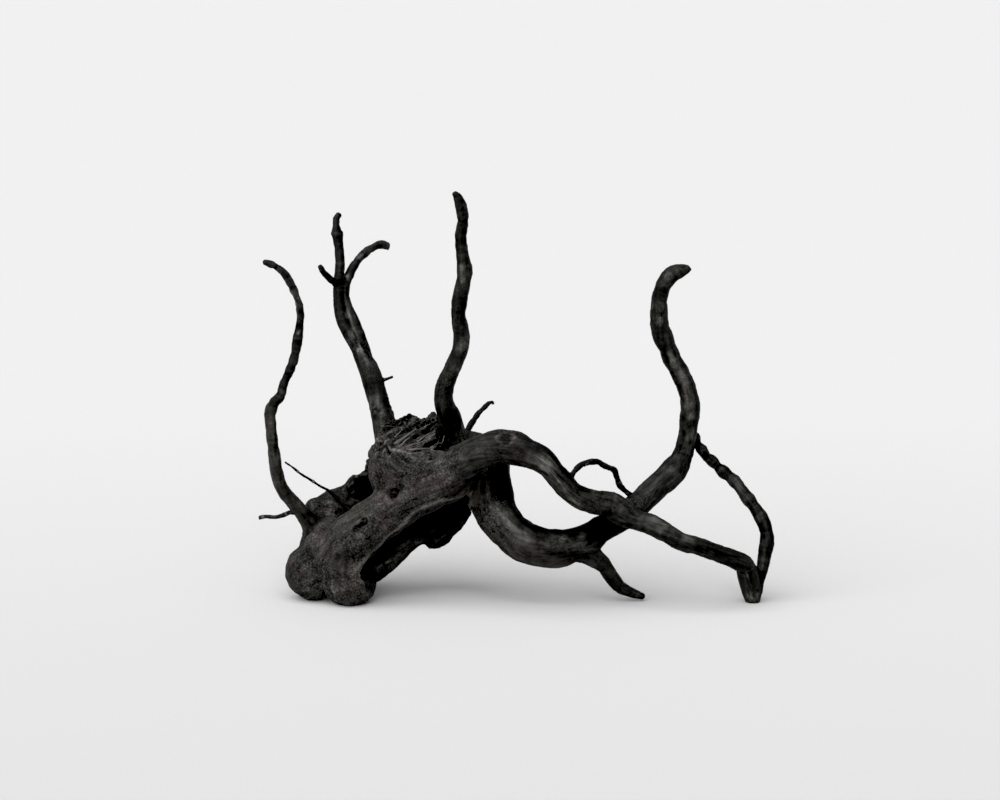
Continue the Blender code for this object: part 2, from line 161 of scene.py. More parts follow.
solid = merged_copy(ROOT_NODE)
skin = with_modifier(solid, "REMESH", mode="VOXEL", voxel_size=SKIN_CELL * MM)
skin_edges = edges_of(skin)
move_points(skin, round_off(points_of(skin), skin_edges, SKIN_ROUNDS))

# Where the wood is worn smooth, as (x, y, z, reach): the left end of the slot under the front leg, and the
# places of the stump's pit and the front leg's groove, which the relief below cuts afresh with ragged rims.
WORN_SMOOTH = [
    (-102, -20, 15, 13), (-106, -32, 14, 11),
    (-80.5, -37, 87.5, 7), (-86, -38, 82, 6),
    (-110.5, -42, 58.5, 6), (-106, -41, 62.5, 6),
]
WORN_ROUNDS = 60
WORN_PULL = 0.5
WORN_CORE = 0.5

worn = points_of(skin)
worn_share = np.zeros(len(worn))
for x, y, z, reach in WORN_SMOOTH:
    away = np.linalg.norm(worn - (x, y, z), axis=1)
    worn_share = np.maximum(worn_share, 1 - smooth_step(away, WORN_CORE * reach, reach))
for _ in range(WORN_ROUNDS):
    worn = worn + WORN_PULL * worn_share[:, None] * (neighbour_mean(worn, skin_edges) - worn)
move_points(skin, worn)

# How thick the wood is and which way its grain runs. The surface turns round a limb but not along it, so the
# grain lies where the nearby normals spread least.
GRAIN_ROUNDS = (3, 12)
GRAIN_DEPTH = (12, 40)
DEPTH_ROUNDS = 2
CARRY_ROUNDS = 24
RAY_START = 0.05
LEAST_DEPTH = 1.0
NO_WAY = 1e-9


def thickness_of(mesh):
    """How deep the wood is under each point, straight in."""
    tree = BVHTree.FromPolygons([v.co for v in mesh.vertices], [f.vertices for f in mesh.polygons])
    depths = []
    for vert in mesh.vertices:
        inward = -vert.normal
        hit = tree.ray_cast(vert.co + inward * RAY_START * MM, inward)
        depths.append(hit[3] / MM if hit[3] is not None else LEAST_DEPTH)
    return np.array(depths)


def normal_spread(normals):
    """The six numbers of each normal's outer product with itself."""
    x, y, z = normals.T
    return np.column_stack([x * x, y * y, z * z, x * y, x * z, y * z])


def least_spread(numbers):
    """The direction in which the normals spread least."""
    xx, yy, zz, xy, xz, yz = numbers.T
    square = np.array([[xx, xy, xz], [xy, yy, yz], [xz, yz, zz]]).transpose(2, 0, 1)
    return np.linalg.eigh(square)[1][:, :, 0]


solid_edges = edges_of(solid)
solid_depth = spread(thickness_of(solid), solid_edges, DEPTH_ROUNDS)
thick_part = smooth_step(solid_depth, *GRAIN_DEPTH)
near = spread(normal_spread(normals_of(solid)), solid_edges, GRAIN_ROUNDS[0])
wide = spread(normal_spread(normals_of(solid)), solid_edges, GRAIN_ROUNDS[1])
solid_facts = np.column_stack([solid_depth, near + (wide - near) * thick_part[:, None]])

nearest = KDTree(len(solid.vertices))
for vert in solid.vertices:
    nearest.insert(vert.co, vert.index)
nearest.balance()
closest = [nearest.find(vert.co)[1] for vert in skin.vertices]
facts = spread(solid_facts[closest], skin_edges, CARRY_ROUNDS)

points = points_of(skin)
normals = normals_of(skin)
depth = facts[:, 0]
grain = least_spread(facts[:, 1:])
grain -= normals * (grain * normals).sum(1)[:, None]
grain /= np.linalg.norm(grain, axis=1)[:, None] + NO_WAY
across = np.cross(normals, grain)

# Random values at each point are drawn out along the grain into fibres, or round the limb into growth rings.
MOST_NEIGHBOURS = 6
WALK_STEP = 0.7
FIBRE_REACH = 12
RING_REACH = 8
SPECKLE_SEED = 5
FIBRE_CLOUDS = [(2.0, 11), (4.5, 12), (10, 13)]
RING_CLOUDS = [(1.8, 21), (13, 22)]
NOISE_TURN = Matrix.Rotation(0.6, 3, "X") @ Matrix.Rotation(1.1, 3, "Y") @ Matrix.Rotation(0.4, 3, "Z")
NOISE_CELLS = 64
NOISE_SHIFT = 1000.5


def cloud(places, size, seed):
    """Soft random lumps of about that size, from -1 to 1."""
    cells = places @ np.array(NOISE_TURN).T / size + NOISE_SHIFT
    whole = np.floor(cells).astype(int)
    part = cells - whole
    part = part * part * (3 - 2 * part)
    lattice = np.random.default_rng(seed).uniform(-1, 1, (NOISE_CELLS,) * 3)
    total = np.zeros(len(places))
    for corner in np.ndindex(2, 2, 2):
        weight = np.where(corner, part, 1 - part).prod(1)
        total += weight * lattice[tuple(((whole + corner) % NOISE_CELLS).T)]
    return total


def clouds(places, rows, start=0):
    """Clouds added up on top of the start value, one for each row of (size, strength, seed)."""
    return sum((strength * cloud(places, size, seed) for size, strength, seed in rows), start)


def neighbour_table(edges, count):
    """Each point and its neighbours in one row, filled up with the point itself."""
    ends = np.concatenate([edges, edges[:, ::-1]])
    ends = ends[np.argsort(ends[:, 0], kind="stable")]
    place = np.arange(len(ends)) - np.searchsorted(ends[:, 0], ends[:, 0])
    table = np.repeat(np.arange(count)[:, None], MOST_NEIGHBOURS + 1, axis=1)
    kept = place < MOST_NEIGHBOURS
    table[ends[kept, 0], place[kept] + 1] = ends[kept, 1]
    return table


def drawn_out(values, way, reach):
    """The mean of the values on a walk over the skin, as far as that each way along the given direction."""
    total = values.copy()
    steps = round(reach / WALK_STEP)
    rows = np.arange(len(points))
    for side in (1, -1):
        here = rows
        heading = way * side
        spot = points.copy()
        for _ in range(steps):
            spot += heading * WALK_STEP
            choices = table[here]
            off = points[choices] - spot[:, None]
            here = choices[rows, np.einsum("ijk,ijk->ij", off, off).argmin(1)]
            flip = np.where((way[here] * heading).sum(1) < 0, -1.0, 1.0)
            heading = way[here] * flip[:, None]
            off = spot - points[here]
            spot -= normals[here] * (off * normals[here]).sum(1)[:, None]
            total += values[here]
    return total / (2 * steps + 1)


def evened(values):
    """The values with a mean of 0 and a usual size of 1."""
    return (values - values.mean(0)) / values.std(0)


table = neighbour_table(skin_edges, len(points))
speckle = np.random.default_rng(SPECKLE_SEED).uniform(-1, 1, len(points))
fibre_clouds = [cloud(points, size, seed) for size, seed in FIBRE_CLOUDS]
fine, hair, ridge, fold = evened(drawn_out(np.column_stack([speckle, *fibre_clouds]), grain, FIBRE_REACH)).T
ring_clouds = [cloud(points, size, seed) for size, seed in RING_CLOUDS]
ring, band = evened(drawn_out(np.column_stack(ring_clouds), across, RING_REACH)).T

# The middle line of each limb. They turn each place on a limb into its place on a straight limb, where fibres
# run along it and growth rings round it. Like the rootlets below, they are measured from a spot on the floor
# that is 37 mm in front of the middle of the root's box, as CENTRING says.
CENTRING = (-0.79, -37.1, 0)
LIMBS = {
    "arch": [
        (-56, 10, 92), (-28, -5, 110), (-1, -15, 117), (19, -20, 109), (42, -13, 83), (63, -2, 75),
        (86, 0, 62), (115, -10, 49), (142, -6, 40), (166, 5, 29),
    ],
    "low root and right shoot": [
        (-40, 46, 100), (-20, 38, 84), (-8, 15, 57), (20, 6, 41), (50, 12, 46), (73, 19, 59), (96, 33, 75),
        (114, 41, 91), (122, 42, 114), (124, 37, 138), (115, 28, 163), (103, 18, 189), (99, 12, 209),
        (102, 7, 227), (112, 5, 237), (121, 4, 239),
    ],
    "prong": [(40, 10, 41), (57, 12, 32), (70, 15, 16), (92, 18, 3)],
    "loop": [
        (123, 44, 103), (137, 52, 97), (153, 53, 83), (170, 40, 64), (178, 31, 49), (177, 23, 34),
        (171, 16, 7),
    ],
    "left shoot": [
        (-139, 36, 42), (-156, 19, 71), (-166, 6, 94), (-168, -10, 129), (-165, -15, 149), (-155, -16, 169),
        (-148, -23, 198), (-147, -31, 222), (-156, -39, 241), (-169, -48, 250),
    ],
    "fork": [
        (-76, 40, 84), (-91, 62, 110), (-103, 77, 151), (-113, 84, 171), (-124, 89, 191), (-127, 94, 217),
        (-126, 97, 232), (-129, 103, 258), (-126, 105, 266),
    ],
    "fork's branch": [
        (-104, 81, 152), (-112, 88, 179), (-121, 94, 201), (-120, 101, 222), (-109, 108, 236),
        (-91, 122, 240),
    ],
    "centre shoot": [
        (-48, 38, 90), (-44, 38, 118), (-50, 32, 143), (-41, 25, 173), (-38, 21, 191), (-39, 18, 216),
        (-35, 16, 236), (-37, 12, 260), (-37, 8, 280), (-42, 4, 292),
    ],
    "front leg": [(-50, 17, 94), (-79, 13, 75), (-104, 10, 56), (-123, 12, 31)],
    "right foot": [(161, 9, 30), (166, 15, 13), (169, 16, 0)],
}
BETWEEN_LIMBS = 500
CORNER_ROUNDS = 80
FIRST_SIDE = (0.3, 0.5, 0.8)


def middle_line(route):
    """Points every millimetre along a limb's route, with its corners rounded."""
    corners = np.array(route, float) + CENTRING
    reach = np.concatenate([[0], np.linalg.norm(np.diff(corners, axis=0), axis=1).cumsum()])
    line = np.column_stack([np.interp(np.arange(0, reach[-1], 1.0), reach, axis) for axis in corners.T])
    for _ in range(CORNER_ROUNDS):
        line[1:-1] = (line[:-2] + 2 * line[1:-1] + line[2:]) / 4
    return line


def straightened(places):
    """Each place as if its limb were straight and upright: two steps across the limb and the way along it."""
    rows = []
    for number, route in enumerate(LIMBS.values()):
        line = middle_line(route)
        ways = np.gradient(line, axis=0)
        ways /= np.linalg.norm(ways, axis=1)[:, None]
        side = np.cross(ways[0], FIRST_SIDE)
        for step, (middle, way) in enumerate(zip(line, ways)):
            side = side - way * (side @ way)
            side /= np.linalg.norm(side)
            rows.append((*middle, *way, *side, number * BETWEEN_LIMBS + step))
    rows = np.array(rows)
    tree = KDTree(len(rows))
    for index, row in enumerate(rows):
        tree.insert(row[:3], index)
    tree.balance()
    found = rows[[tree.find(place)[1] for place in places]]
    middle, way, side, step = found[:, :3], found[:, 3:6], found[:, 6:9], found[:, 9]
    off = places - middle
    return np.column_stack([
        (off * side).sum(1), (off * np.cross(way, side)).sum(1), step + (off * way).sum(1),
    ])


straight = straightened(points)

# Places on the root, measured from the origin. A spot is (x, y, z, radius, strength) and a line is a route of
# (x, y, z).
BREAK_MIDDLE = (-77.8, -3.1, 116)
BREAK_REACH = (30, 30)
BREAK_SLOPE = 18.5
BREAK_BAND = (5, 10)
TEAR_WAY = (0.66, 0.70, 0.26)

KNOTS = [
    (61, -43, 84, 5, 0.5),  # a pair where the arch nears the graft
    (54, -46, 86, 4, 0.4),
    (-128, 4, 59, 7, 0.8),  # the shoulder's knot
]
KNOT_RING = 2.3
EYE_LIDS = [  # a closed-over knot like an eye, on top of the arch
    [(-14, -57, 125), (-11, -56, 128), (-8, -55, 129), (-4, -56, 128), (-1, -59, 126)],
    [(-14, -58, 124), (-10, -61, 122), (-8, -63, 121), (-4, -63, 122), (-1, -60, 125)],
]
EYE = (-7, -59.5, 125.5, 4.5, 0.5)
PITS = [
    (-85, -38, 82.5, 4, 0.9), (-83, -38, 85, 3, 0.5),                                         # the stump
    (-111, -42, 57.5, 2.6, 0.6), (-108.5, -42, 60.5, 2.0, 0.5), (-105.5, -41, 63, 2.6, 0.6),  # the front leg
    (-125, -44, 38, 3, 0.4), (-95, -38, 72, 2.5, 0.3), (-68, -42, 92, 2.5, 0.3),
]
TIPS = [
    (-170, -85, 250.5, 5, 1.0), (-127, 68, 266, 4, 1.0), (-126, 65, 254, 4, 0.8), (-92, 85, 240, 5, 1.0),
    (-43, -33, 292, 6, 1.0), (121, -33, 239, 7, 1.0), (91, -19, 3, 5, 1.0), (166, 5, 30, 4, 0.6),
]
RAGGED = [
    (-117, 7, 80, 9, 0.8), (-109, 14, 72, 10, 0.8), (-100, 8, 92, 8, 0.8),    # the void
    (-98, -20, 103, 8, 0.7),
    (-54, 9, 36, 12, 1.0), (-38, 13, 50, 9, 0.8), (-66, 5, 37, 6, 0.8),       # the flake
    (-96, 30, 128, 9, 0.8), (-88, 34, 138, 7, 0.9), (-104, 27, 128, 7, 0.7),  # the fork
    (-92, 38, 148, 6, 0.9),
    (70, -45, 75, 7, 0.5), (64, -47, 80, 6, 0.5),                             # the arch
    (-31, -41, 92, 8, 0.4), (-108, -42, 61, 7, 0.5),                          # the stump
]
LEG_EDGE = [
    (-111, -42, 29), (-109, -41, 33), (-102, -36, 38), (-95, -35.5, 45), (-92, -37, 50), (-83, -36, 56),
    (-77, -38, 63), (-71, -40, 69), (-62, -40, 74), (-53, -37, 77), (-45, -29, 76),
]
CAVE_WALL = [
    (-103, -8, 30), (-95, 0, 35), (-87, 4, 42), (-79, 4, 49), (-71, 8, 54), (-63, 12, 58), (-54, 13, 61),
    (-46, 10, 62), (-38, 7, 59),
]
CROWN_LIP = [(-88, -28, 111), (-81, -30.5, 110.5), (-72, -29, 108.5), (-62, -28, 107)]
FORK_SEAM = [
    (-124, 58, 219), (-124, 56, 212), (-123, 54, 205), (-121, 52, 197), (-118, 49, 188), (-114, 47, 179),
    (-111, 41, 171), (-106, 36, 161),
]
ARCH_STREAK = [(17, -67, 109), (22, -66, 104), (27, -65, 98), (32, -63, 91), (37, -60, 84), (42, -57, 78)]
ARCH_BACK = [
    (7, -58, 125), (15, -61, 120), (23, -61, 116), (31, -61, 108), (37, -59, 99), (43, -56, 91),
    (48, -51, 88),
]
RIGHT_STREAK = [
    (108, -21, 178), (112, -18.5, 170), (115, -16, 163), (118, -13.5, 155), (121, -10.5, 147), (123, -8, 139),
    (123.5, -5.5, 131),
]
LOW_ROOT_TOP = [
    (-13, -15, 90), (-7, -20, 79), (-3, -26, 71), (1, -27, 65), (9, -31, 59), (20, -35, 56), (34, -31, 57),
    (48, -27, 60), (62, -29, 61),
]
LOW_ROOT_STREAK = [(-13, -31, 70), (-8, -35, 64), (-4, -38, 59), (1, -40, 54), (8, -42, 50)]
LOW_ROOT_RIM = [(-6, -37, 40), (6, -41, 34), (24, -40, 30), (40, -34, 29), (53, -31, 28)]

# How ragged spots and knots are, and where their core, their eye and their end lie as shares of the radius
SPOT_WARP = [(5, 0.35, 71), (2.2, 0.2, 72)]
SPOT_CORE = 0.45
SPOT_END = 1.25
KNOT_WARP = [(4.5, 0.45, 73), (1.8, 0.15, 74)]
KNOT_CORE = 0.5
KNOT_EYE = 0.22


def near_spots(places, spots):
    """From 0 to each spot's strength inside it, with a ragged rim, added up."""
    total = np.zeros(len(places))
    ragged = clouds(places, SPOT_WARP, 1)
    for x, y, z, radius, strength in spots:
        away = np.linalg.norm(places - (x, y, z), axis=1) * ragged
        total += strength * (1 - smooth_step(away, SPOT_CORE * radius, SPOT_END * radius))
    return total


def from_line(places, route):
    """How far each place is from the route."""
    nearest_way = np.full(len(places), np.inf)
    for start, end in zip(np.array(route[:-1], float), np.array(route[1:], float)):
        leg = end - start
        share = np.clip((places - start) @ leg / (leg @ leg), 0, 1)
        nearest_way = np.minimum(nearest_way, np.linalg.norm(places - start - share[:, None] * leg, axis=1))
    return nearest_way


def near_line(places, route, reach):
    """From 1 on the route, falling off softly within that reach."""
    return np.exp(-(from_line(places, route) / reach) ** 2)


def rings_round(places, knots):
    """The rise and fall of growth rings round each knot, and the pit at its middle."""
    rings = np.zeros(len(places))
    middle = np.zeros(len(places))
    warp = clouds(places, KNOT_WARP, 1)
    for x, y, z, radius, strength in knots:
        away = np.linalg.norm(places - (x, y, z), axis=1) * warp
        fade = strength * (1 - smooth_step(away, KNOT_CORE * radius, radius))
        rings += fade * np.cos(2 * math.pi * away / KNOT_RING)
        middle += strength * np.exp(-(away / (KNOT_EYE * radius)) ** 2)
    return rings, middle


# Thick wood and slim limbs, by the depth of the wood under the skin
THICK_WOOD = (9, 34)
SLIM_WOOD = (3, 9)

thick = smooth_step(depth, *THICK_WOOD)
slim = 1 - smooth_step(depth, *SLIM_WOOD)

# Where the stump broke off: within its reach, near the slanting plane of the break, and only on thick wood.
# The break is splintered along the tear, and crumbly towards the back.
BREAK_RIM = (0.7, 1.15)
BREAK_DEPTH = (8, 14)
TEAR_STRETCH = 0.80
SPLINTERS = (1.9, 81)
CRUMBLY_BACK = (2, 16)

off_break = points - np.array(BREAK_MIDDLE)
above_break = off_break[:, 2] - math.tan(math.radians(BREAK_SLOPE)) * off_break[:, 1]
inside = (off_break[:, 0] / BREAK_REACH[0]) ** 2 + (off_break[:, 1] / BREAK_REACH[1]) ** 2
crown = (1 - smooth_step(inside, *BREAK_RIM)) * (1 - smooth_step(np.abs(above_break), *BREAK_BAND))
crown *= smooth_step(depth, *BREAK_DEPTH)
tear_way = np.array(TEAR_WAY) / np.linalg.norm(TEAR_WAY)
squeezed = points - TEAR_STRETCH * (points @ tear_way)[:, None] * tear_way
splintered = cloud(squeezed, *SPLINTERS)
crumbly = crown * smooth_step(off_break[:, 1], *CRUMBLY_BACK)

# The relief, in millimetres: rolling lumps and pitted grains on the thick wood, faint fibres along the roots,
# and wrinkles on the slim limbs. Of a rise with two numbers, the first is everywhere and the second is only
# on the thick wood or the slim limbs.
FOLD_RISE = 0.16
RIDGE_RISE = (0.05, 0.05)
HAIR_RISE = 0.045
FINE_RISE = 0.03
SLIM_RING_RISE = 0.10
RING_RISE = 0.05
WRINKLES = (5, 31)
WRINKLE_RISE = (0.10, 0.25)
LUMPS = [(15, 0.55, 32), (7, 0.22, 33)]
COARSE_GRAINS = (2.4, 34)
COARSE_GRAIN_RISE = 0.13

height = FOLD_RISE * thick * fold
height += (RIDGE_RISE[0] + RIDGE_RISE[1] * thick) * ridge
height += HAIR_RISE * hair + FINE_RISE * fine
height += (SLIM_RING_RISE * slim + RING_RISE * (1 - thick)) * ring
height += (WRINKLE_RISE[0] + WRINKLE_RISE[1] * slim) * cloud(points, *WRINKLES)
height += thick * clouds(points, LUMPS)
height += COARSE_GRAIN_RISE * thick * cloud(points, *COARSE_GRAINS)

# Knots with their rings, pits, and the eye between its lids
KNOT_RING_RISE = 0.20
KNOT_DEPTH = 0.7
PIT_DEPTH = 1.2
LID_REACH = 1.0
LID_RISE = 0.40
LID_SHARE = 0.80
LID_FIBRES = 0.30
LID_LUMPS = (3, 39)
LID_LUMP_SHARE = 0.25
EYE_DEPTH = 0.8

rings, knot_middle = rings_round(points, KNOTS)
pitted = near_spots(points, PITS)
height += KNOT_RING_RISE * rings - KNOT_DEPTH * knot_middle - PIT_DEPTH * pitted
lids = sum(near_line(points, lid, LID_REACH) for lid in EYE_LIDS)
eye = near_spots(points, [EYE])
lids = np.clip(lids * (LID_SHARE + LID_FIBRES * hair + LID_LUMP_SHARE * cloud(points, *LID_LUMPS)), 0, 1)
height += LID_RISE * lids - EYE_DEPTH * eye

# Beads round the slim limbs, as (stretch across and along the limb, size, strength, seed)
BEADS = [((0, 0, 1), 3.6, 0.5, 36), ((0.2, 0.2, 1), 6, 0.8, 40)]
BEAD_DEPTH = (6, 13)
SLIM_BEAD_RISE = 0.36
BEAD_RISE = 0.18

beads = sum(strength * cloud(straight * stretch, size, seed) for stretch, size, strength, seed in BEADS)
height += (SLIM_BEAD_RISE * (1 - smooth_step(depth, *BEAD_DEPTH)) + BEAD_RISE * (1 - thick)) * beads

# Ragged places, broken tips, the broken top, and the two proud edges
FLAKES = [(3.6, 0.9, 37), (1.9, 0.6, 38)]
TIP_CRUMBS = (1.9, 35)
TIP_CRUMB_RISE = 0.55
TIP_LOSS = 0.15
SPLINTER_RISE = 0.75
CROWN_GRAINS = (1.6, 82)
CROWN_GRAIN_RISE = 0.3
CRUMBS = [(3.4, 0.9, 83), (1.9, 0.5, 84)]
PROUD_EDGES = [(LEG_EDGE, 0.45, 1.6), (CROWN_LIP, 0.7, 1.3)]        # a line, its rise and its reach

broken_tip = near_spots(points, TIPS)
ragged_part = near_spots(points, RAGGED)
height += ragged_part * clouds(points, FLAKES)
height += broken_tip * (TIP_CRUMB_RISE * cloud(points, *TIP_CRUMBS) - TIP_LOSS)
height += crown * (SPLINTER_RISE * splintered + CROWN_GRAIN_RISE * cloud(points, *CROWN_GRAINS))
height += crumbly * clouds(points, CRUMBS)
for route, rise, reach in PROUD_EDGES:
    height += rise * near_line(points, route, reach)

# Worn patches of fine pits and grains, mostly on the stump
PATCHES = (18, 41)
PATCH_THICK = 0.9
PATCH_RANGE = (0.25, 1.0)
GRAIN_PITS = (2.0, 42)
GRAIN_PIT_RANGE = (0.3, 0.8)
GRAIN_PIT_DEPTH = 0.22

grainy = smooth_step(cloud(points, *PATCHES) + PATCH_THICK * thick, *PATCH_RANGE)
height -= GRAIN_PIT_DEPTH * grainy * smooth_step(cloud(points, *GRAIN_PITS), *GRAIN_PIT_RANGE)

low = np.array(cad_low) / MM
high = np.array(cad_high) / MM
move_points(skin, np.clip(points + normals * height[:, None], low, high))

# Tone from 0, soot black, to 1, rubbed grey. Proud edges are lighter, as rubbed wear and painted highlight,
# and hollows are darker as painted shade. The shoots, the loop and the far root ends are darker than the
# stump, with rubbed patches and painted highlights between near-black stretches, some of them painted shade.
# Lighter spots: rubbed wear, and painted highlights where the light catches the arch, the low root and the
# shoots.
RUBBED_AND_HIGHLIT_SPOTS = [
    (21, -66, 104, 6, 0.16), (20, -66, 105, 4, 0.20), (-22, -56, 116, 7, 0.10),        # the arch
    (68, -46, 76, 7, 0.14), (75, -45, 68, 6, 0.12), (50, -53, 80, 7, 0.10),
    (94, -48, 64, 5, 0.24), (101, -51, 61, 5, 0.18), (119, -51, 53, 4.5, 0.26),
    (18, -45, 44, 7, 0.08), (30, -43, 42, 7, 0.06),                                    # the low root
    (-32, -20, 74, 7, 0.30), (-36, -30, 76, 7, 0.24), (-38, -45, 82, 7, 0.14),
    (32, -41, 49, 3, 0.16), (45, -37, 49, 3.5, 0.16), (53, -36, 44, 3, 0.14),
    (98, -29, 202, 4.5, 0.55), (98, -31, 212, 4.5, 0.28), (105, -36, 234, 4, 0.24),    # the right shoot
    (109, -21, 175, 5, 0.20), (111, -19, 170, 6, 0.30), (114, -17, 165, 5, 0.28),
    (116.5, -14, 158, 4.5, 0.22), (119, -13, 152, 4, 0.12), (121, -10, 146, 4.5, 0.20),
    (123, -8, 139, 4.5, 0.26), (123.5, -5, 130, 4, 0.36), (122, -4, 121, 7, 0.16),
    (121, -2, 111, 8, 0.18), (117, -3, 102, 8, 0.12), (98, -12, 83, 9, 0.06), (109, -7, 87, 9, 0.12),
    (-169, -54, 137, 5, 0.18), (-168, -50, 128, 5, 0.14), (-166, -40, 106, 4, 0.10),   # the left shoot
    (-151, -72, 226, 3.5, 0.44), (-148, -70, 220, 4.5, 0.50), (-148, -66, 210, 3, 0.15),
    (-149, -64, 199, 2.2, 0.45), (-160, -80, 243, 3, 0.25),
    (-121, 51, 194, 3, 0.38), (-119, 45, 182, 3, 0.30),                                # the fork
    (-113, 41, 170, 2.5, 0.26), (-101, 28, 135, 6, 0.30), (-97, 25, 129, 5, 0.16),
    (-112, 68, 234, 4, 0.26), (-106, 71, 238, 3, 0.24), (-121, 60, 220, 2.5, 0.4),
    (-117, 47, 186, 2.5, 0.26),
    (-37, -21, 190, 4.5, 0.26), (-38, -20, 183, 4.5, 0.30), (-45, -14, 166, 5, 0.22),  # the centre shoot
    (-48, -12, 158, 4, 0.18), (-52, -10, 143, 3, 0.22), (-38, -26, 238, 3.5, 0.24),
    (-37, -25, 231, 3.5, 0.26), (-37, -3, 123, 3, 0.14),
    (160, -36, 22, 5, 0.46), (168, -28, 5, 5, 0.48), (164.7, -29.4, 12, 5, 0.14),      # the right foot
    (159, 7, 78, 4, 0.24), (146, 13, 90, 3, 0.12),                                     # the loop
    (-97, -5, 22, 5, 0.26), (-90, 0, 25, 6, 0.26), (-82, 4, 31, 6, 0.26),              # the rear leg
    (-73, 7, 38, 6, 0.16),
    (-60, 6, 46, 2, 0.35),                                                             # the flake's splinter
    (-60, -42, 86, 8, 0.22), (-95, -34, 80, 4, 0.26), (-50, -42, 84, 9, 0.16),         # the stump
    (-44, -44, 92, 8, 0.10), (-54, -43, 105, 5, 0.10),
    (-137, -34, 46, 5, 0.20), (-134, -40, 38, 5, 0.18), (-127, -43, 30, 5, 0.14),      # the front leg
    (-103.8, -37, 37, 6, 0.14), (-96, -38, 55, 6, 0.10), (-114, -44, 30, 5, 0.22),
    (-158, -22, 34, 5, 0.10), (-122, -42, 15, 9, 0.05),                                # the lobes
    (-131, 2, 60, 5, 0.18), (-134, 5, 67, 4, 0.16), (-120, 8, 69.5, 4, 0.14),          # the shoulder
]
# Darker spots, mostly painted shade: in the break's recess, the void, the cave under the stump, the pits,
# under the saddle and on the low root under the arch. The rest darken the shoots, the loop and the root ends.
SHADE_AND_SOOT_SPOTS = [
    (-48.8, -7, 114, 9, 0.30), (-51, 2, 118, 8, 0.25), (-45, -9, 127, 8, 0.20),         # the break's recess
    (-10, -14, 88, 15, 0.35), (-4, -22, 80, 8, 0.20), (58.7, -32, 56, 12, 0.40),        # the low root
    (75, -24, 62, 10, 0.25), (-22, -36, 96, 7, 0.25), (40, -35, 54, 7, 0.25), (52, -32, 52, 7, 0.25),
    (-32, -41, 92, 4, 0.30), (-25, -44, 95, 4, 0.30),                                   # under the saddle
    (-108, 12, 75, 11, 0.45), (-100, 4, 84, 8, 0.35), (-144, -10, 60, 9, 0.20),         # void and shoulder
    (-90, -8, 34, 9, 0.10), (-66, -2, 54, 14, 0.30), (-48, 2, 60, 14, 0.30), (-48, 9, 44, 9, 0.10),
    (-105, -12, 27, 6, 0.20), (-102, -22, 19, 5, 0.35), (-98, -20, 18, 4, 0.30), (-105, -20, 20, 4, 0.30),
    (-116, 43, 175, 2.5, 0.20), (-82, -38, 103, 9, 0.12), (-1, -65, 116, 9, 0.12), (-152, -26, 27, 12, 0.06),
    (-85.5, -38, 82.5, 5, 0.22), (-111, -42, 57.5, 3, 0.20), (-106, -41, 62.5, 3, 0.20),
    (-137, 4, 66, 5, 0.08),
    (127, -51, 49, 6, 0.14), (17, -43, 50, 7, 0.10), (178, -18, 35, 10, 0.24), (176, -23, 22, 8, 0.18),
    (-40, -25, 214, 9, 0.12), (-38, -27, 262, 9, 0.08), (99, -30, 222, 6, 0.10), (-129, 62, 240, 14, 0.08),
    (-77, -37, 103, 6, 0.10), (-122.7, -46, 36, 7, 0.10),
    (145, -48, 38, 14, 0.10), (132, -50, 46, 8, 0.16), (58, -46, 84, 5, 0.08),
    (138.6, 13, 99, 6, 0.10), (171, -1, 66, 8, 0.26), (150, 12, 89, 5, 0.16), (177, -11, 50, 10, 0.28),
    (-165, -55, 151, 5, 0.20), (-159, -56, 165, 8, 0.12), (-149, -64, 203, 2.5, 0.24),  # the shoots
    (-123, 47, 182, 4, 0.20), (-104, 31, 147, 7, 0.16), (-129, 50, 200, 6, 0.10),
]

PINKISH = [
    (-63, -43, 88, 10, 0.8), (-94, -34, 78, 7, 0.8), (-33, -22, 74, 9, 0.6), (-118, -44, 20, 14, 0.5),
    (-134, -38, 45, 7, 0.7), (-126, -44, 38, 6, 0.5), (-72, -20, 110, 12, 0.6), (-84, -36, 94, 6, 0.5),
]

PROUD_ROUNDS = 6
HOLLOW_ROUNDS = 60

relieved = points_of(skin)
proud = ((relieved - spread(relieved, skin_edges, PROUD_ROUNDS)) * normals_of(skin)).sum(1)
hollow_way = ((relieved - spread(relieved, skin_edges, HOLLOW_ROUNDS)) * normals_of(skin)).sum(1)


def past(axis, low_place, high_place):
    """From 0 to 1 over the skin, as x, y or z passes from the low place to the high one."""
    return smooth_step(relieved[:, "xyz".index(axis)], low_place, high_place)


# Which limb a place is on, by where it lies along x, y or z, and how much darker each is than the stump
SHOOT_HEIGHT = (112, 140)
LOOP_X = (126, 140)
LOOP_Y = (-34, -20)
PRONG_X = (52, 66)
PRONG_HEIGHT = (30, 42)
PRONG_TIP = 95
BACK_START = (-12, 6)
BACK_END = (16, 30)
FORK_TOP_HEIGHT = (190, 214)
FORK_Y = 40
MIDDLE_X = (-40, 20)
RIGHT_X = (70, 120)
BASE_TONE = 0.435
LIMB_DARKER = 0.23
PRONG_SHARE = 0.7
FORK_TOP_DARKER = 0.10
MIDDLE_DARKER = 0.10
RIGHT_DARKER = 0.08
BACK_DARKER = 0.10

shoot = past("z", *SHOOT_HEIGHT)
loop = past("x", *LOOP_X) * past("y", *LOOP_Y)
prong = past("x", *PRONG_X) * (1 - past("z", *PRONG_HEIGHT)) * (relieved[:, 0] < PRONG_TIP)
back = past("y", *BACK_START) * (1 - past("y", *BACK_END)) * (1 - shoot) * (1 - loop)
fork_top = past("z", *FORK_TOP_HEIGHT) * (relieved[:, 1] > FORK_Y)
rightward = MIDDLE_DARKER * past("x", *MIDDLE_X) + RIGHT_DARKER * past("x", *RIGHT_X)
tone = BASE_TONE - LIMB_DARKER * np.maximum.reduce([shoot, loop, PRONG_SHARE * prong])
tone -= FORK_TOP_DARKER * fork_top + rightward * (1 - np.maximum(shoot, loop)) + BACK_DARKER * back
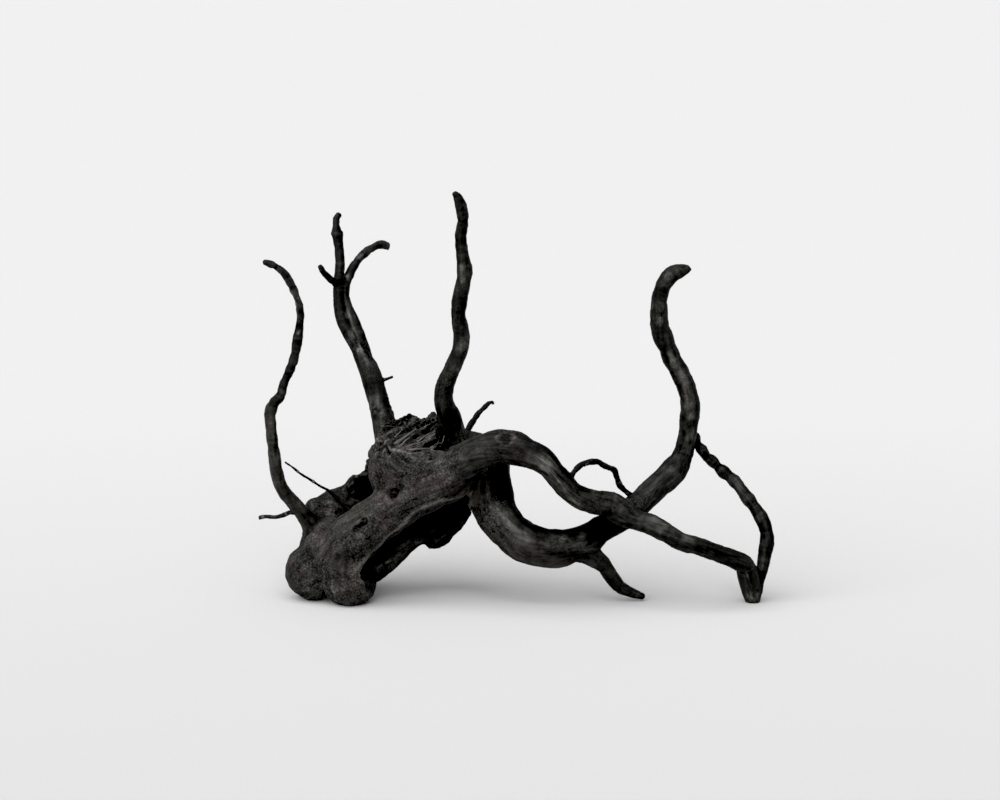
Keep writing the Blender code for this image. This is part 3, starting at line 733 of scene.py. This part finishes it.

# Blotches, fibres, rings, proud places lighter as wear and painted highlight, hollow places darker as painted
# shade
BLOTCHES = [(24, 0.06, 51), (9, 0.08, 52), (4, 0.07, 53)]
BLOTCH_SHARE = (0.5, 0.5)
HAIR_TONE = 0.03
RIDGE_TONE = 0.025
FINE_TONE = 0.02
BAND_TONE = (0.02, 0.03)
RING_TONE = 0.03
PROUD_WEAR_AND_HIGHLIGHT_TONE = 0.8
HOLLOW_SHADE_TONE = 0.10
HOLLOW_LIMITS = (-2, 1)

tone += clouds(relieved, BLOTCHES) * (BLOTCH_SHARE[0] + BLOTCH_SHARE[1] * thick)
tone += HAIR_TONE * hair + RIDGE_TONE * ridge + FINE_TONE * fine
tone += (BAND_TONE[0] + BAND_TONE[1] * slim) * band + RING_TONE * slim * ring
tone += PROUD_WEAR_AND_HIGHLIGHT_TONE * proud + HOLLOW_SHADE_TONE * np.clip(hollow_way, *HOLLOW_LIMITS)

# Knots, tips, ragged places, rubbed spots with painted highlights, painted-shade and sooty spots, and the
# broken top
KNOT_RING_TONE = 0.07
KNOT_DARKER = 0.30
TIP_DARKER = 0.15
LID_TONE = 0.34
EYE_DARKER = 0.24
RAGGED_DARKER = 0.08
RUB_HAIR = 0.35
RUB_RIDGE = 0.25
SPLINTER_TONE = 0.30
CROWN_DARKER = 0.02
CRUMBLY_DARKER = 0.14

rubbed_and_highlit = near_spots(relieved, RUBBED_AND_HIGHLIT_SPOTS)
tone += KNOT_RING_TONE * rings - KNOT_DARKER * knot_middle - TIP_DARKER * broken_tip
tone += LID_TONE * lids - EYE_DARKER * eye - RAGGED_DARKER * ragged_part
tone += rubbed_and_highlit * (1 + RUB_HAIR * hair + RUB_RIDGE * ridge) - near_spots(relieved, SHADE_AND_SOOT_SPOTS)
tone += crown * (SPLINTER_TONE * splintered - CROWN_DARKER) - CRUMBLY_DARKER * crumbly

# Lines, as (route, what the tone gains on it, reach): painted shade along the cave wall, the arch's upper
# back and the low root's top under the arch; painted highlights and rim reflections, partly worn wood, on the
# leg's edge, the crown's lip, the low root's rim and the right shoot's streak. Also two streaks that the
# fibres break up.
LINE_TONES = [
    (CAVE_WALL, -0.50, 9), (LEG_EDGE, 0.65, 2.1), (CROWN_LIP, 0.40, 1.6), (FORK_SEAM, 0.55, 1.0),
    (ARCH_BACK, -0.36, 4.2), (LOW_ROOT_TOP, -0.40, 6.5), (LOW_ROOT_RIM, 0.20, 2.5), (RIGHT_STREAK, 0.36, 3),
]
ARCH_STREAK_REACH = 4.6
ARCH_STREAK_TONE = 0.36
ARCH_STREAK_HAIR = 0.14
ARCH_STREAK_RIDGE = 0.07
LOW_STREAK_REACH = 4
LOW_STREAK_TONE = 0.17
LOW_STREAK_HAIR = 0.08

for route, gain, reach in LINE_TONES:
    tone += gain * near_line(points, route, reach)
# The arch and low root streaks are painted highlights.
arch_streak = near_line(points, ARCH_STREAK, ARCH_STREAK_REACH)
low_streak = near_line(points, LOW_ROOT_STREAK, LOW_STREAK_REACH)
tone += (ARCH_STREAK_TONE + ARCH_STREAK_HAIR * hair + ARCH_STREAK_RIDGE * ridge) * arch_streak
tone += (LOW_STREAK_TONE + LOW_STREAK_HAIR * hair) * low_streak
tone = np.clip(tone, 0, 1)

# Where the wood is reddish, grained, polished, streaky and ringed, each from 0 up
RUST_CLOUDS = [(15, 1, 61), (5, 0.6, 62)]
RUST_RANGE = (0.0, 0.9)
RUST_TONES = (0.25, 0.45)
RUST_ENDS_X = (50, 75)
LOW_RIGHT_X = (-20, 0)
LOW_RIGHT_HEIGHT = (60, 75)
LEAST_GRAINED = 0.25
GRAINED_PATCH = 0.75
GRAINED_SLIM = 0.6
GRAINED_RUBBED = 0.9
GRAINED_LOW_RIGHT = 0.65
POLISHED_RUBBED = 1.2
POLISHED_THIN = 0.6
LEAST_STREAKY = 0.55
STREAKY_ARCH = 0.9
STREAKY_LOW = 0.3
STREAKY_DEPTH = (26, 36)
STREAKY_SLIM = 0.4
STREAKY_SHOOT = 0.45
RINGED_DEPTH = (9, 15)

rusty = smooth_step(clouds(relieved, RUST_CLOUDS), *RUST_RANGE)
rusty = np.clip(rusty + near_spots(relieved, PINKISH), 0, 1)
rusty *= (1 - shoot) * thick * (1 - past("x", *RUST_ENDS_X)) * smooth_step(tone, *RUST_TONES)
low_right = past("x", *LOW_RIGHT_X) * (1 - past("z", *LOW_RIGHT_HEIGHT))
grained = LEAST_GRAINED + GRAINED_PATCH * grainy + crown - GRAINED_SLIM * slim
grained += GRAINED_RUBBED * rubbed_and_highlit * shoot
grained = np.clip(grained, 0, 1) * (1 - GRAINED_LOW_RIGHT * low_right)
polished = np.clip(POLISHED_RUBBED * rubbed_and_highlit + POLISHED_THIN * (1 - thick) + low_streak, 0, 1) * (1 - crown)
streaky = LEAST_STREAKY + STREAKY_ARCH * arch_streak + STREAKY_LOW * low_streak
streaky *= (1 - smooth_step(depth, *STREAKY_DEPTH)) * (1 - STREAKY_SLIM * slim)
streaky *= (1 - np.clip(ragged_part, 0, 1)) * (1 - STREAKY_SHOOT * shoot)
ringed = 1 - smooth_step(depth, *RINGED_DEPTH)


def keep_looks(mesh, looks):
    """Stores each look at the mesh's points for the material to read, as a number or a place at each."""
    for name, values in looks.items():
        if np.ndim(values) == 2:
            kept = mesh.attributes.new(name, "FLOAT_VECTOR", "POINT")
            kept.data.foreach_set("vector", values.astype(np.float32).ravel())
        else:
            kept = mesh.attributes.new(name, "FLOAT", "POINT")
            kept.data.foreach_set("value", np.broadcast_to(values, len(mesh.vertices)).astype(np.float32))


keep_looks(skin, {
    "tone": tone, "rusty": rusty, "grained": grained, "polished": polished, "streaky": streaky,
    "ringed": ringed, "straight": straight * MM,
})

skin.calc_loop_triangles()
share = SKIN_TRIANGLES / len(skin.loop_triangles)
skin = with_modifier(skin, "DECIMATE", ratio=share, use_collapse_triangulate=True)
move_points(skin, np.clip(points_of(skin), low, high))

# Charred-looking wood: near-black, reddish in places on the stump, dull with a faint sheen on the rubbed
# ridges. A noise is (scale, detail, roughness). The sheen goes by the tone, and the roughness by the polish,
# each as (times, plus).
TONES = [
    (0.00, (0.0010, 0.0010, 0.0009)),
    (0.30, (0.0036, 0.0036, 0.0032)),
    (0.55, (0.0140, 0.0136, 0.0120)),
    (0.80, (0.0340, 0.0325, 0.0295)),
    (1.00, (0.0700, 0.0670, 0.0610)),
]
RUST = (0.0275, 0.0190, 0.0190)
RUST_SHARE = 0.38
SHEEN = (0.26, 0.055)
ROUGHNESS = (-0.32, 0.78)
ALONG_FIBRES = (1, 1, 0.09)
ROUND_RINGS = (0.22, 0.22, 1)
FIBRE_NOISE = (900, 3, 0.65)
RING_NOISE = (520, 2, 0.6)
SPECKLE_NOISE = (820, 2, 0.6)
BLOTCH_NOISE = (160, 4, 0.55)
ROUGH_NOISE = (1700, 4, 0.65)
NOISE_MIDDLE = 0.5
FIBRE_CONTRAST = 1.3
RING_CONTRAST = 0.45
SPECKLE_CONTRAST = 1.60
BLOTCH_CONTRAST = 0.22
BUMP_STRENGTH = 0.55
BUMP_RISE = 0.25
FIBRE_BUMP = 1.2
RING_BUMP = 0.7


def charred_wood():
    """The wood, which reads its looks at each point."""
    material = bpy.data.materials.new("charred_wood")
    material.use_nodes = True
    nodes = material.node_tree.nodes
    links = material.node_tree.links
    shader = nodes["Principled BSDF"]
    place = nodes.new("ShaderNodeTexCoord").outputs["Object"]

    def read(name, output="Fac"):
        node = nodes.new("ShaderNodeAttribute")
        node.attribute_name = name
        return node.outputs[output]

    def noise(pattern, where=place):
        node = nodes.new("ShaderNodeTexNoise")
        for socket, value in zip(("Scale", "Detail", "Roughness"), pattern):
            node.inputs[socket].default_value = value
        links.new(where, node.inputs["Vector"])
        return node.outputs["Fac"]

    def stretched(factors):
        node = nodes.new("ShaderNodeVectorMath")
        node.operation = "MULTIPLY"
        links.new(on_limb, node.inputs[0])
        node.inputs[1].default_value = factors
        return node.outputs["Vector"]

    def maths(operation, first, second, third=None):
        node = nodes.new("ShaderNodeMath")
        node.operation = operation
        for socket, value in zip(node.inputs, (first, second, third)):
            if isinstance(value, bpy.types.NodeSocket):
                links.new(value, socket)
            elif value is not None:
                socket.default_value = value
        return node.outputs[0]

    def centred(pattern, where=place):
        """The noise with its middle at 0."""
        return maths("SUBTRACT", noise(pattern, where), NOISE_MIDDLE)

    on_limb = read("straight", "Vector")
    fibres = maths("MULTIPLY", centred(FIBRE_NOISE, stretched(ALONG_FIBRES)), read("streaky"))
    rings = maths("MULTIPLY", centred(RING_NOISE, stretched(ROUND_RINGS)), read("ringed"))
    speckled = maths("MULTIPLY", centred(SPECKLE_NOISE), read("grained"))
    blotches = maths("MULTIPLY", centred(BLOTCH_NOISE), BLOTCH_CONTRAST)
    tone = maths("MULTIPLY_ADD", speckled, SPECKLE_CONTRAST, read("tone"))
    tone = maths("ADD", tone, blotches)
    tone = maths("MULTIPLY_ADD", fibres, FIBRE_CONTRAST, tone)
    tone = maths("MULTIPLY_ADD", rings, RING_CONTRAST, tone)
    ramp = nodes.new("ShaderNodeValToRGB")
    stops = ramp.color_ramp.elements
    for stop, (position, colour) in zip(stops, (TONES[0], TONES[-1])):
        stop.position = position
        stop.color = (*colour, 1)
    for position, colour in TONES[1:-1]:
        stops.new(position).color = (*colour, 1)
    links.new(tone, ramp.inputs["Fac"])

    mix = nodes.new("ShaderNodeMix")
    mix.data_type = "RGBA"
    links.new(maths("MULTIPLY", read("rusty"), RUST_SHARE), mix.inputs["Factor"])
    links.new(ramp.outputs["Color"], mix.inputs["A"])
    mix.inputs["B"].default_value = (*RUST, 1)
    links.new(mix.outputs["Result"], shader.inputs["Base Color"])

    sheen = maths("MULTIPLY_ADD", tone, *SHEEN)
    sheen.node.use_clamp = True
    links.new(sheen, shader.inputs["Specular IOR Level"])
    links.new(maths("MULTIPLY_ADD", read("polished"), *ROUGHNESS), shader.inputs["Roughness"])

    bump = nodes.new("ShaderNodeBump")
    bump.inputs["Strength"].default_value = BUMP_STRENGTH
    bump.inputs["Distance"].default_value = BUMP_RISE * MM
    roughened = maths("MULTIPLY_ADD", fibres, FIBRE_BUMP, noise(ROUGH_NOISE))
    links.new(maths("MULTIPLY_ADD", rings, RING_BUMP, roughened), bump.inputs["Height"])
    links.new(bump.outputs["Normal"], shader.inputs["Normal"])
    return material


wood = charred_wood()
skin.materials.clear()
skin.materials.append(wood)
skin.shade_smooth()
root_skin = bpy.data.objects.new("root_skin", skin)
scene.collection.objects.link(root_skin)
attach(root_skin, "root")
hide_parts(ROOT_NODE)


# Six thin rootlets and spurs grow from the shoulder, the arch, the fork and the stump: knobbly black twigs as
# thin as 1.4 mm. Each is one tapering tube, sunk in the wood at its foot, and hides the solid's plain one.

ROOTLETS = {
    "short_twig": [
        (-40, 50, 106, 7.5), (-35, 56, 113.5, 5.2), (-33, 58.5, 117, 4.2), (-31.5, 60, 119.5, 4.8),
        (-29, 62.5, 123, 3.8), (-27, 65, 125.5, 4.3), (-24, 68.5, 128.3, 3.2), (-21, 72, 130.5, 3.8),
        (-18, 76, 132.4, 2.6), (-16, 77, 132.6, 2.2), (-15.4, 76.5, 131.2, 2.0),
    ],
    "fork_stub": [
        (-126.5, 94, 213, 4.7), (-128.5, 92, 216.5, 5.6), (-133, 87, 221, 4.8), (-137, 83, 226, 4.6),
        (-139.5, 80, 231, 3.6),
    ],
    "fork_spur": [(-101, 80, 146, 3.2), (-95, 77, 148.5, 2.5), (-88, 72, 152, 1.6)],
    "arc_rootlet": [
        (34, -17, 92, 5), (38.5, -12, 96.5, 4.6), (41, -9, 99.3, 3.5), (43.5, -6, 101.5, 4.6),
        (48, 0, 103, 3.7), (53, 5, 103.3, 4.8), (58, 9, 102.3, 3.7), (62, 12, 99.2, 4.4),
        (66.5, 15, 96.8, 3.5), (69.7, 17, 94.5, 4.6), (71.6, 19, 89, 3.5), (74, 23, 82.5, 4.4),
        (78, 26, 78, 3.5), (84, 29, 73, 4.2),
    ],
    "left_rootlet": [
        (-146, 26, 60, 5.8), (-152, 21, 63.5, 4.5), (-158, 21, 63.8, 3.4), (-163, 25, 61, 3.0),
        (-170, 29, 58.5, 2.8), (-177, 33, 58, 2.8), (-181.5, 36, 56.5, 2.8),
    ],
    "fine_rootlet": [
        (-162.5, 30, 98, 1.4), (-157, 32, 93.7, 1.6), (-151.5, 34, 88.5, 1.7), (-145, 36, 84, 1.7),
        (-138.5, 39, 79, 1.8), (-131.5, 42, 74, 2.2), (-124.5, 43, 66.5, 2.8), (-117.5, 43, 60, 3.2),
        (-110, 44, 53, 3.2),
    ],
}
ROOTLET_KNOBS = [(3.0, 0.30, 91), (1.4, 0.14, 91)]
ROOTLET_TONE = 0.26
ROOTLET_BLOTCHES = [(3, 0.07, 92), (9, 0.05, 93)]
ROOTLET_LOOKS = {"rusty": 0, "grained": 0.3, "polished": 0.2, "streaky": 0, "ringed": 0.6}
STEPS_ALONG = 8
STEPS_ROUND = 3
ROOTLET_SAME_POINT = 0.01


def rootlet(name, route):
    """A knobbly tube along the route, each of whose points has its own thickness."""
    curve = bpy.data.curves.new(name, "CURVE")
    curve.dimensions = "3D"
    curve.resolution_u = STEPS_ALONG
    curve.bevel_depth = MM / 2
    curve.bevel_resolution = STEPS_ROUND
    curve.use_fill_caps = True
    spline = curve.splines.new("BEZIER")
    spline.bezier_points.add(len(route) - 1)
    for point, (x, y, z, thickness) in zip(spline.bezier_points, route):
        point.co = (Vector((x, y, z)) + Vector(CENTRING)) * MM
        point.radius = thickness
        point.handle_left_type = "AUTO"
        point.handle_right_type = "AUTO"
    guide = bpy.data.objects.new(name, curve)
    scene.collection.objects.link(guide)
    bpy.context.view_layer.update()
    mesh = bpy.data.meshes.new_from_object(guide.evaluated_get(bpy.context.evaluated_depsgraph_get()))
    bpy.data.objects.remove(guide)
    shape = bmesh.new()
    shape.from_mesh(mesh)
    bmesh.ops.remove_doubles(shape, verts=shape.verts, dist=ROOTLET_SAME_POINT * MM)
    bmesh.ops.recalc_face_normals(shape, faces=shape.faces)
    shape.to_mesh(mesh)
    shape.free()
    places = points_of(mesh)
    push = clouds(places, ROOTLET_KNOBS)
    move_points(mesh, np.clip(places + normals_of(mesh) * push[:, None], low, high))
    blotched = clouds(places, ROOTLET_BLOTCHES, ROOTLET_TONE)
    keep_looks(mesh, {"tone": blotched, **ROOTLET_LOOKS, "straight": places * MM})
    mesh.materials.clear()
    mesh.materials.append(wood)
    mesh.shade_smooth()
    made = bpy.data.objects.new(name, mesh)
    scene.collection.objects.link(made)
    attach(made, "root")


for name, route in ROOTLETS.items():
    rootlet(name, route)


# Torn fibres lie slantwise over the broken top, where the wood split. They are pale slivers, loose at one end
# and grown in at the other. All of them are one piece.

FIBRES = 80
FIBRE_SEED = 17
FIBRE_LENGTH = (3, 9)
FIBRE_WIDTH = (0.5, 1.3)
FIBRE_THROW = 0.8
FIBRE_STRAY = 0.5
FIBRE_LIFT = 0.10
FIBRE_SUNK = 0.15
SLIVER_LIFT = 0.25
DROP_HEIGHT = 150
FALL = (22, 48)
STEEPEST = 0.3
FIBRE_CUTS = 4
FIBRE_SIDES = 6
FIBRE_TIP = 0.25
WIDE_SHARE = 0.5
FLAT_SHARE = 0.3
FLANK_SHARE = 0.6
FIBRE_BEND = [(4.5, 0.6), (1.6, 0.2)]
BEND_SEEDS = (96, 97, 98)
FIBRE_TONE = 0.60
FIBRE_BLOTCHES = [(9, 0.22, 95)]
SLIVER_TONE = 0.95
FIBRE_LOOKS = {"rusty": 0.5, "grained": 0.6, "polished": 0, "streaky": 0, "ringed": 0}
SLIVERS = [
    ((-86, -15, 112), (-71, 3, 120), 3.4), ((-83, -20, 111), (-75, -5, 116), 2.6),
    ((-80, -19, 111.5), (-62, -13, 116), 2.4), ((-62, -12, 116), (-56, -2, 119), 2.0),
    ((-76, -24, 110), (-60, -22, 111), 1.6), ((-90, -8, 112), (-81, 6, 118), 1.8),
    ((-70, -9, 115), (-61, 2, 119), 1.5), ((-68, 6, 120), (-58, 14, 124), 1.6),
    ((-53, -12, 113), (-50, -10, 119), 0.9), ((-56, -15, 112), (-54, -13, 117), 0.9),
    ((-51, -5, 113), (-49, -4, 118), 0.8),
]

skin_tree = BVHTree.FromPolygons([v.co for v in skin.vertices], [f.vertices for f in skin.polygons])
pick = np.random.default_rng(FIBRE_SEED)
shape = bmesh.new()


def lay_fibre(foot, way, up, width, length):
    """A tapering sliver from its foot, in millimetres."""
    side = up.cross(way).normalized()
    top = way.cross(side)
    place = Matrix((side * width * WIDE_SHARE, top * width * FLAT_SHARE, way * length)).transposed().to_4x4()
    place.translation = foot
    cone = bmesh.ops.create_cone(
        shape, cap_ends=True, segments=FIBRE_SIDES, radius1=1, radius2=FIBRE_TIP, depth=1,
        matrix=Matrix.Scale(MM, 4) @ place,
    )
    edges = {edge for vert in cone["verts"] for edge in vert.link_edges}
    flanks = [edge for edge in edges if edge.calc_length() > FLANK_SHARE * length * MM]
    bmesh.ops.subdivide_edges(shape, edges=flanks, cuts=FIBRE_CUTS)


for start, end, width in SLIVERS:
    middle = (Vector(start) + Vector(end)) / 2
    foot, up, _, _ = skin_tree.find_nearest(middle * MM)
    way = Vector(end) - Vector(start)
    lay_fibre(foot / MM + up * SLIVER_LIFT * width, way.normalized(), up, width, way.length)
for _ in range(FIBRES):
    turn = pick.uniform(0, 2 * math.pi)
    reach = math.sqrt(pick.uniform(0, FIBRE_THROW))
    length = pick.uniform(*FIBRE_LENGTH)
    width = pick.uniform(*FIBRE_WIDTH)
    stray = pick.normal(0, FIBRE_STRAY)
    x = BREAK_MIDDLE[0] + BREAK_REACH[0] * reach * math.cos(turn)
    y = BREAK_MIDDLE[1] + BREAK_REACH[1] * reach * math.sin(turn)
    foot, up, _, fall = skin_tree.ray_cast(Vector((x, y, DROP_HEIGHT)) * MM, Vector((0, 0, -1)))
    if foot is None or up.z < STEEPEST or not FALL[0] < fall / MM < FALL[1]:
        continue
    way = Matrix.Rotation(stray, 3, "Z") @ Vector(TEAR_WAY)
    way = (way - up * way.dot(up) + up * FIBRE_LIFT).normalized()
    lay_fibre(foot / MM - up * FIBRE_SUNK, way, up, width, length)
fibre_mesh = bpy.data.meshes.new("torn_fibres")
shape.to_mesh(fibre_mesh)
shape.free()
fibre_places = points_of(fibre_mesh)
fibre_bend = sum(
    strength * np.column_stack([cloud(fibre_places, size, seed) for seed in BEND_SEEDS])
    for size, strength in FIBRE_BEND
)
move_points(fibre_mesh, np.clip(fibre_places + fibre_bend, low, high))
fibre_tone = clouds(fibre_places, FIBRE_BLOTCHES, FIBRE_TONE)
fibre_tone[:len(SLIVERS) * FIBRE_SIDES * (FIBRE_CUTS + 2)] = SLIVER_TONE
keep_looks(fibre_mesh, {"tone": fibre_tone, **FIBRE_LOOKS, "straight": fibre_places * MM})
fibre_mesh.materials.append(wood)
torn_fibres = bpy.data.objects.new("torn_fibres", fibre_mesh)
scene.collection.objects.link(torn_fibres)
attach(torn_fibres, "root")


# The studio is a pale floor that runs on past the picture, with no wall. It is one flat sheet of matt paper,
# and the root stands on it.

FLOOR_RADIUS = 30000
FLOOR_SIDES = 64
# Painted light on the paper: darker near the front, paler towards the back.
FLOOR_NEAR = (-0.6, 0.325)
FLOOR_FAR = (0.7, 0.366)
FLOOR_ROUGHNESS = 0.9
FLOOR_SHEEN = 0.1


def pale_paper():
    """Paper with painted light: a little paler towards the back, and darker near the front as painted shade.
    """
    material = bpy.data.materials.new("pale_paper")
    material.use_nodes = True
    nodes = material.node_tree.nodes
    links = material.node_tree.links
    shader = nodes["Principled BSDF"]
    parts = nodes.new("ShaderNodeSeparateXYZ")
    links.new(nodes.new("ShaderNodeTexCoord").outputs["Object"], parts.inputs["Vector"])
    shade = nodes.new("ShaderNodeMapRange")
    links.new(parts.outputs["Y"], shade.inputs["Value"])
    shade.inputs["From Min"].default_value, shade.inputs["To Min"].default_value = FLOOR_NEAR
    shade.inputs["From Max"].default_value, shade.inputs["To Max"].default_value = FLOOR_FAR
    links.new(shade.outputs["Result"], shader.inputs["Base Color"])
    shader.inputs["Roughness"].default_value = FLOOR_ROUGHNESS
    shader.inputs["Specular IOR Level"].default_value = FLOOR_SHEEN
    return material


shape = bmesh.new()
bmesh.ops.create_circle(shape, cap_ends=True, segments=FLOOR_SIDES, radius=FLOOR_RADIUS * MM)
floor_mesh = bpy.data.meshes.new("floor")
shape.to_mesh(floor_mesh)
shape.free()
floor_mesh.materials.append(pale_paper())
floor = bpy.data.objects.new("floor", floor_mesh)
scene.collection.objects.link(floor)

# Soft light from all round, and a broad key light from the front, high on the left.
DOME_COLOUR = (1.0, 1.0, 1.0)
DOME_STRENGTH = 0.60
KEY_STRENGTH = 7.4
KEY_SPREAD = 90
KEY_TURN = (40, 0, -30)

world = bpy.data.worlds.new("studio")
world.use_nodes = True
world.node_tree.nodes["Background"].inputs["Color"].default_value = (*DOME_COLOUR, 1)
world.node_tree.nodes["Background"].inputs["Strength"].default_value = DOME_STRENGTH
scene.world = world

key = bpy.data.lights.new("key", "SUN")
key.energy = KEY_STRENGTH
key.angle = math.radians(KEY_SPREAD)
key_light = bpy.data.objects.new("key", key)
key_light.rotation_euler = [math.radians(angle) for angle in KEY_TURN]
scene.collection.objects.link(key_light)

# The photographer stands well back and looks down by ten degrees.
CAMERA_PLACE = (-11.4, -1932, 482)
CAMERA_DOWN = 10
LENS = 100
FARTHEST_SEEN = 200

camera = bpy.data.cameras.new("camera")
camera.lens = LENS
camera.clip_end = FARTHEST_SEEN
camera_object = bpy.data.objects.new("camera", camera)
camera_object.location = Vector(CAMERA_PLACE) * MM
camera_object.rotation_euler = (math.radians(90 - CAMERA_DOWN), 0, 0)
scene.collection.objects.link(camera_object)
scene.camera = camera_object

# The picture's blacks are as deep as the photo's.
BLACK_POINT = 0.012

scene.view_settings.view_transform = "Standard"
scene.view_settings.use_curve_mapping = True
curves = scene.view_settings.curve_mapping
curves.black_level = (BLACK_POINT,) * 3
curves.update()
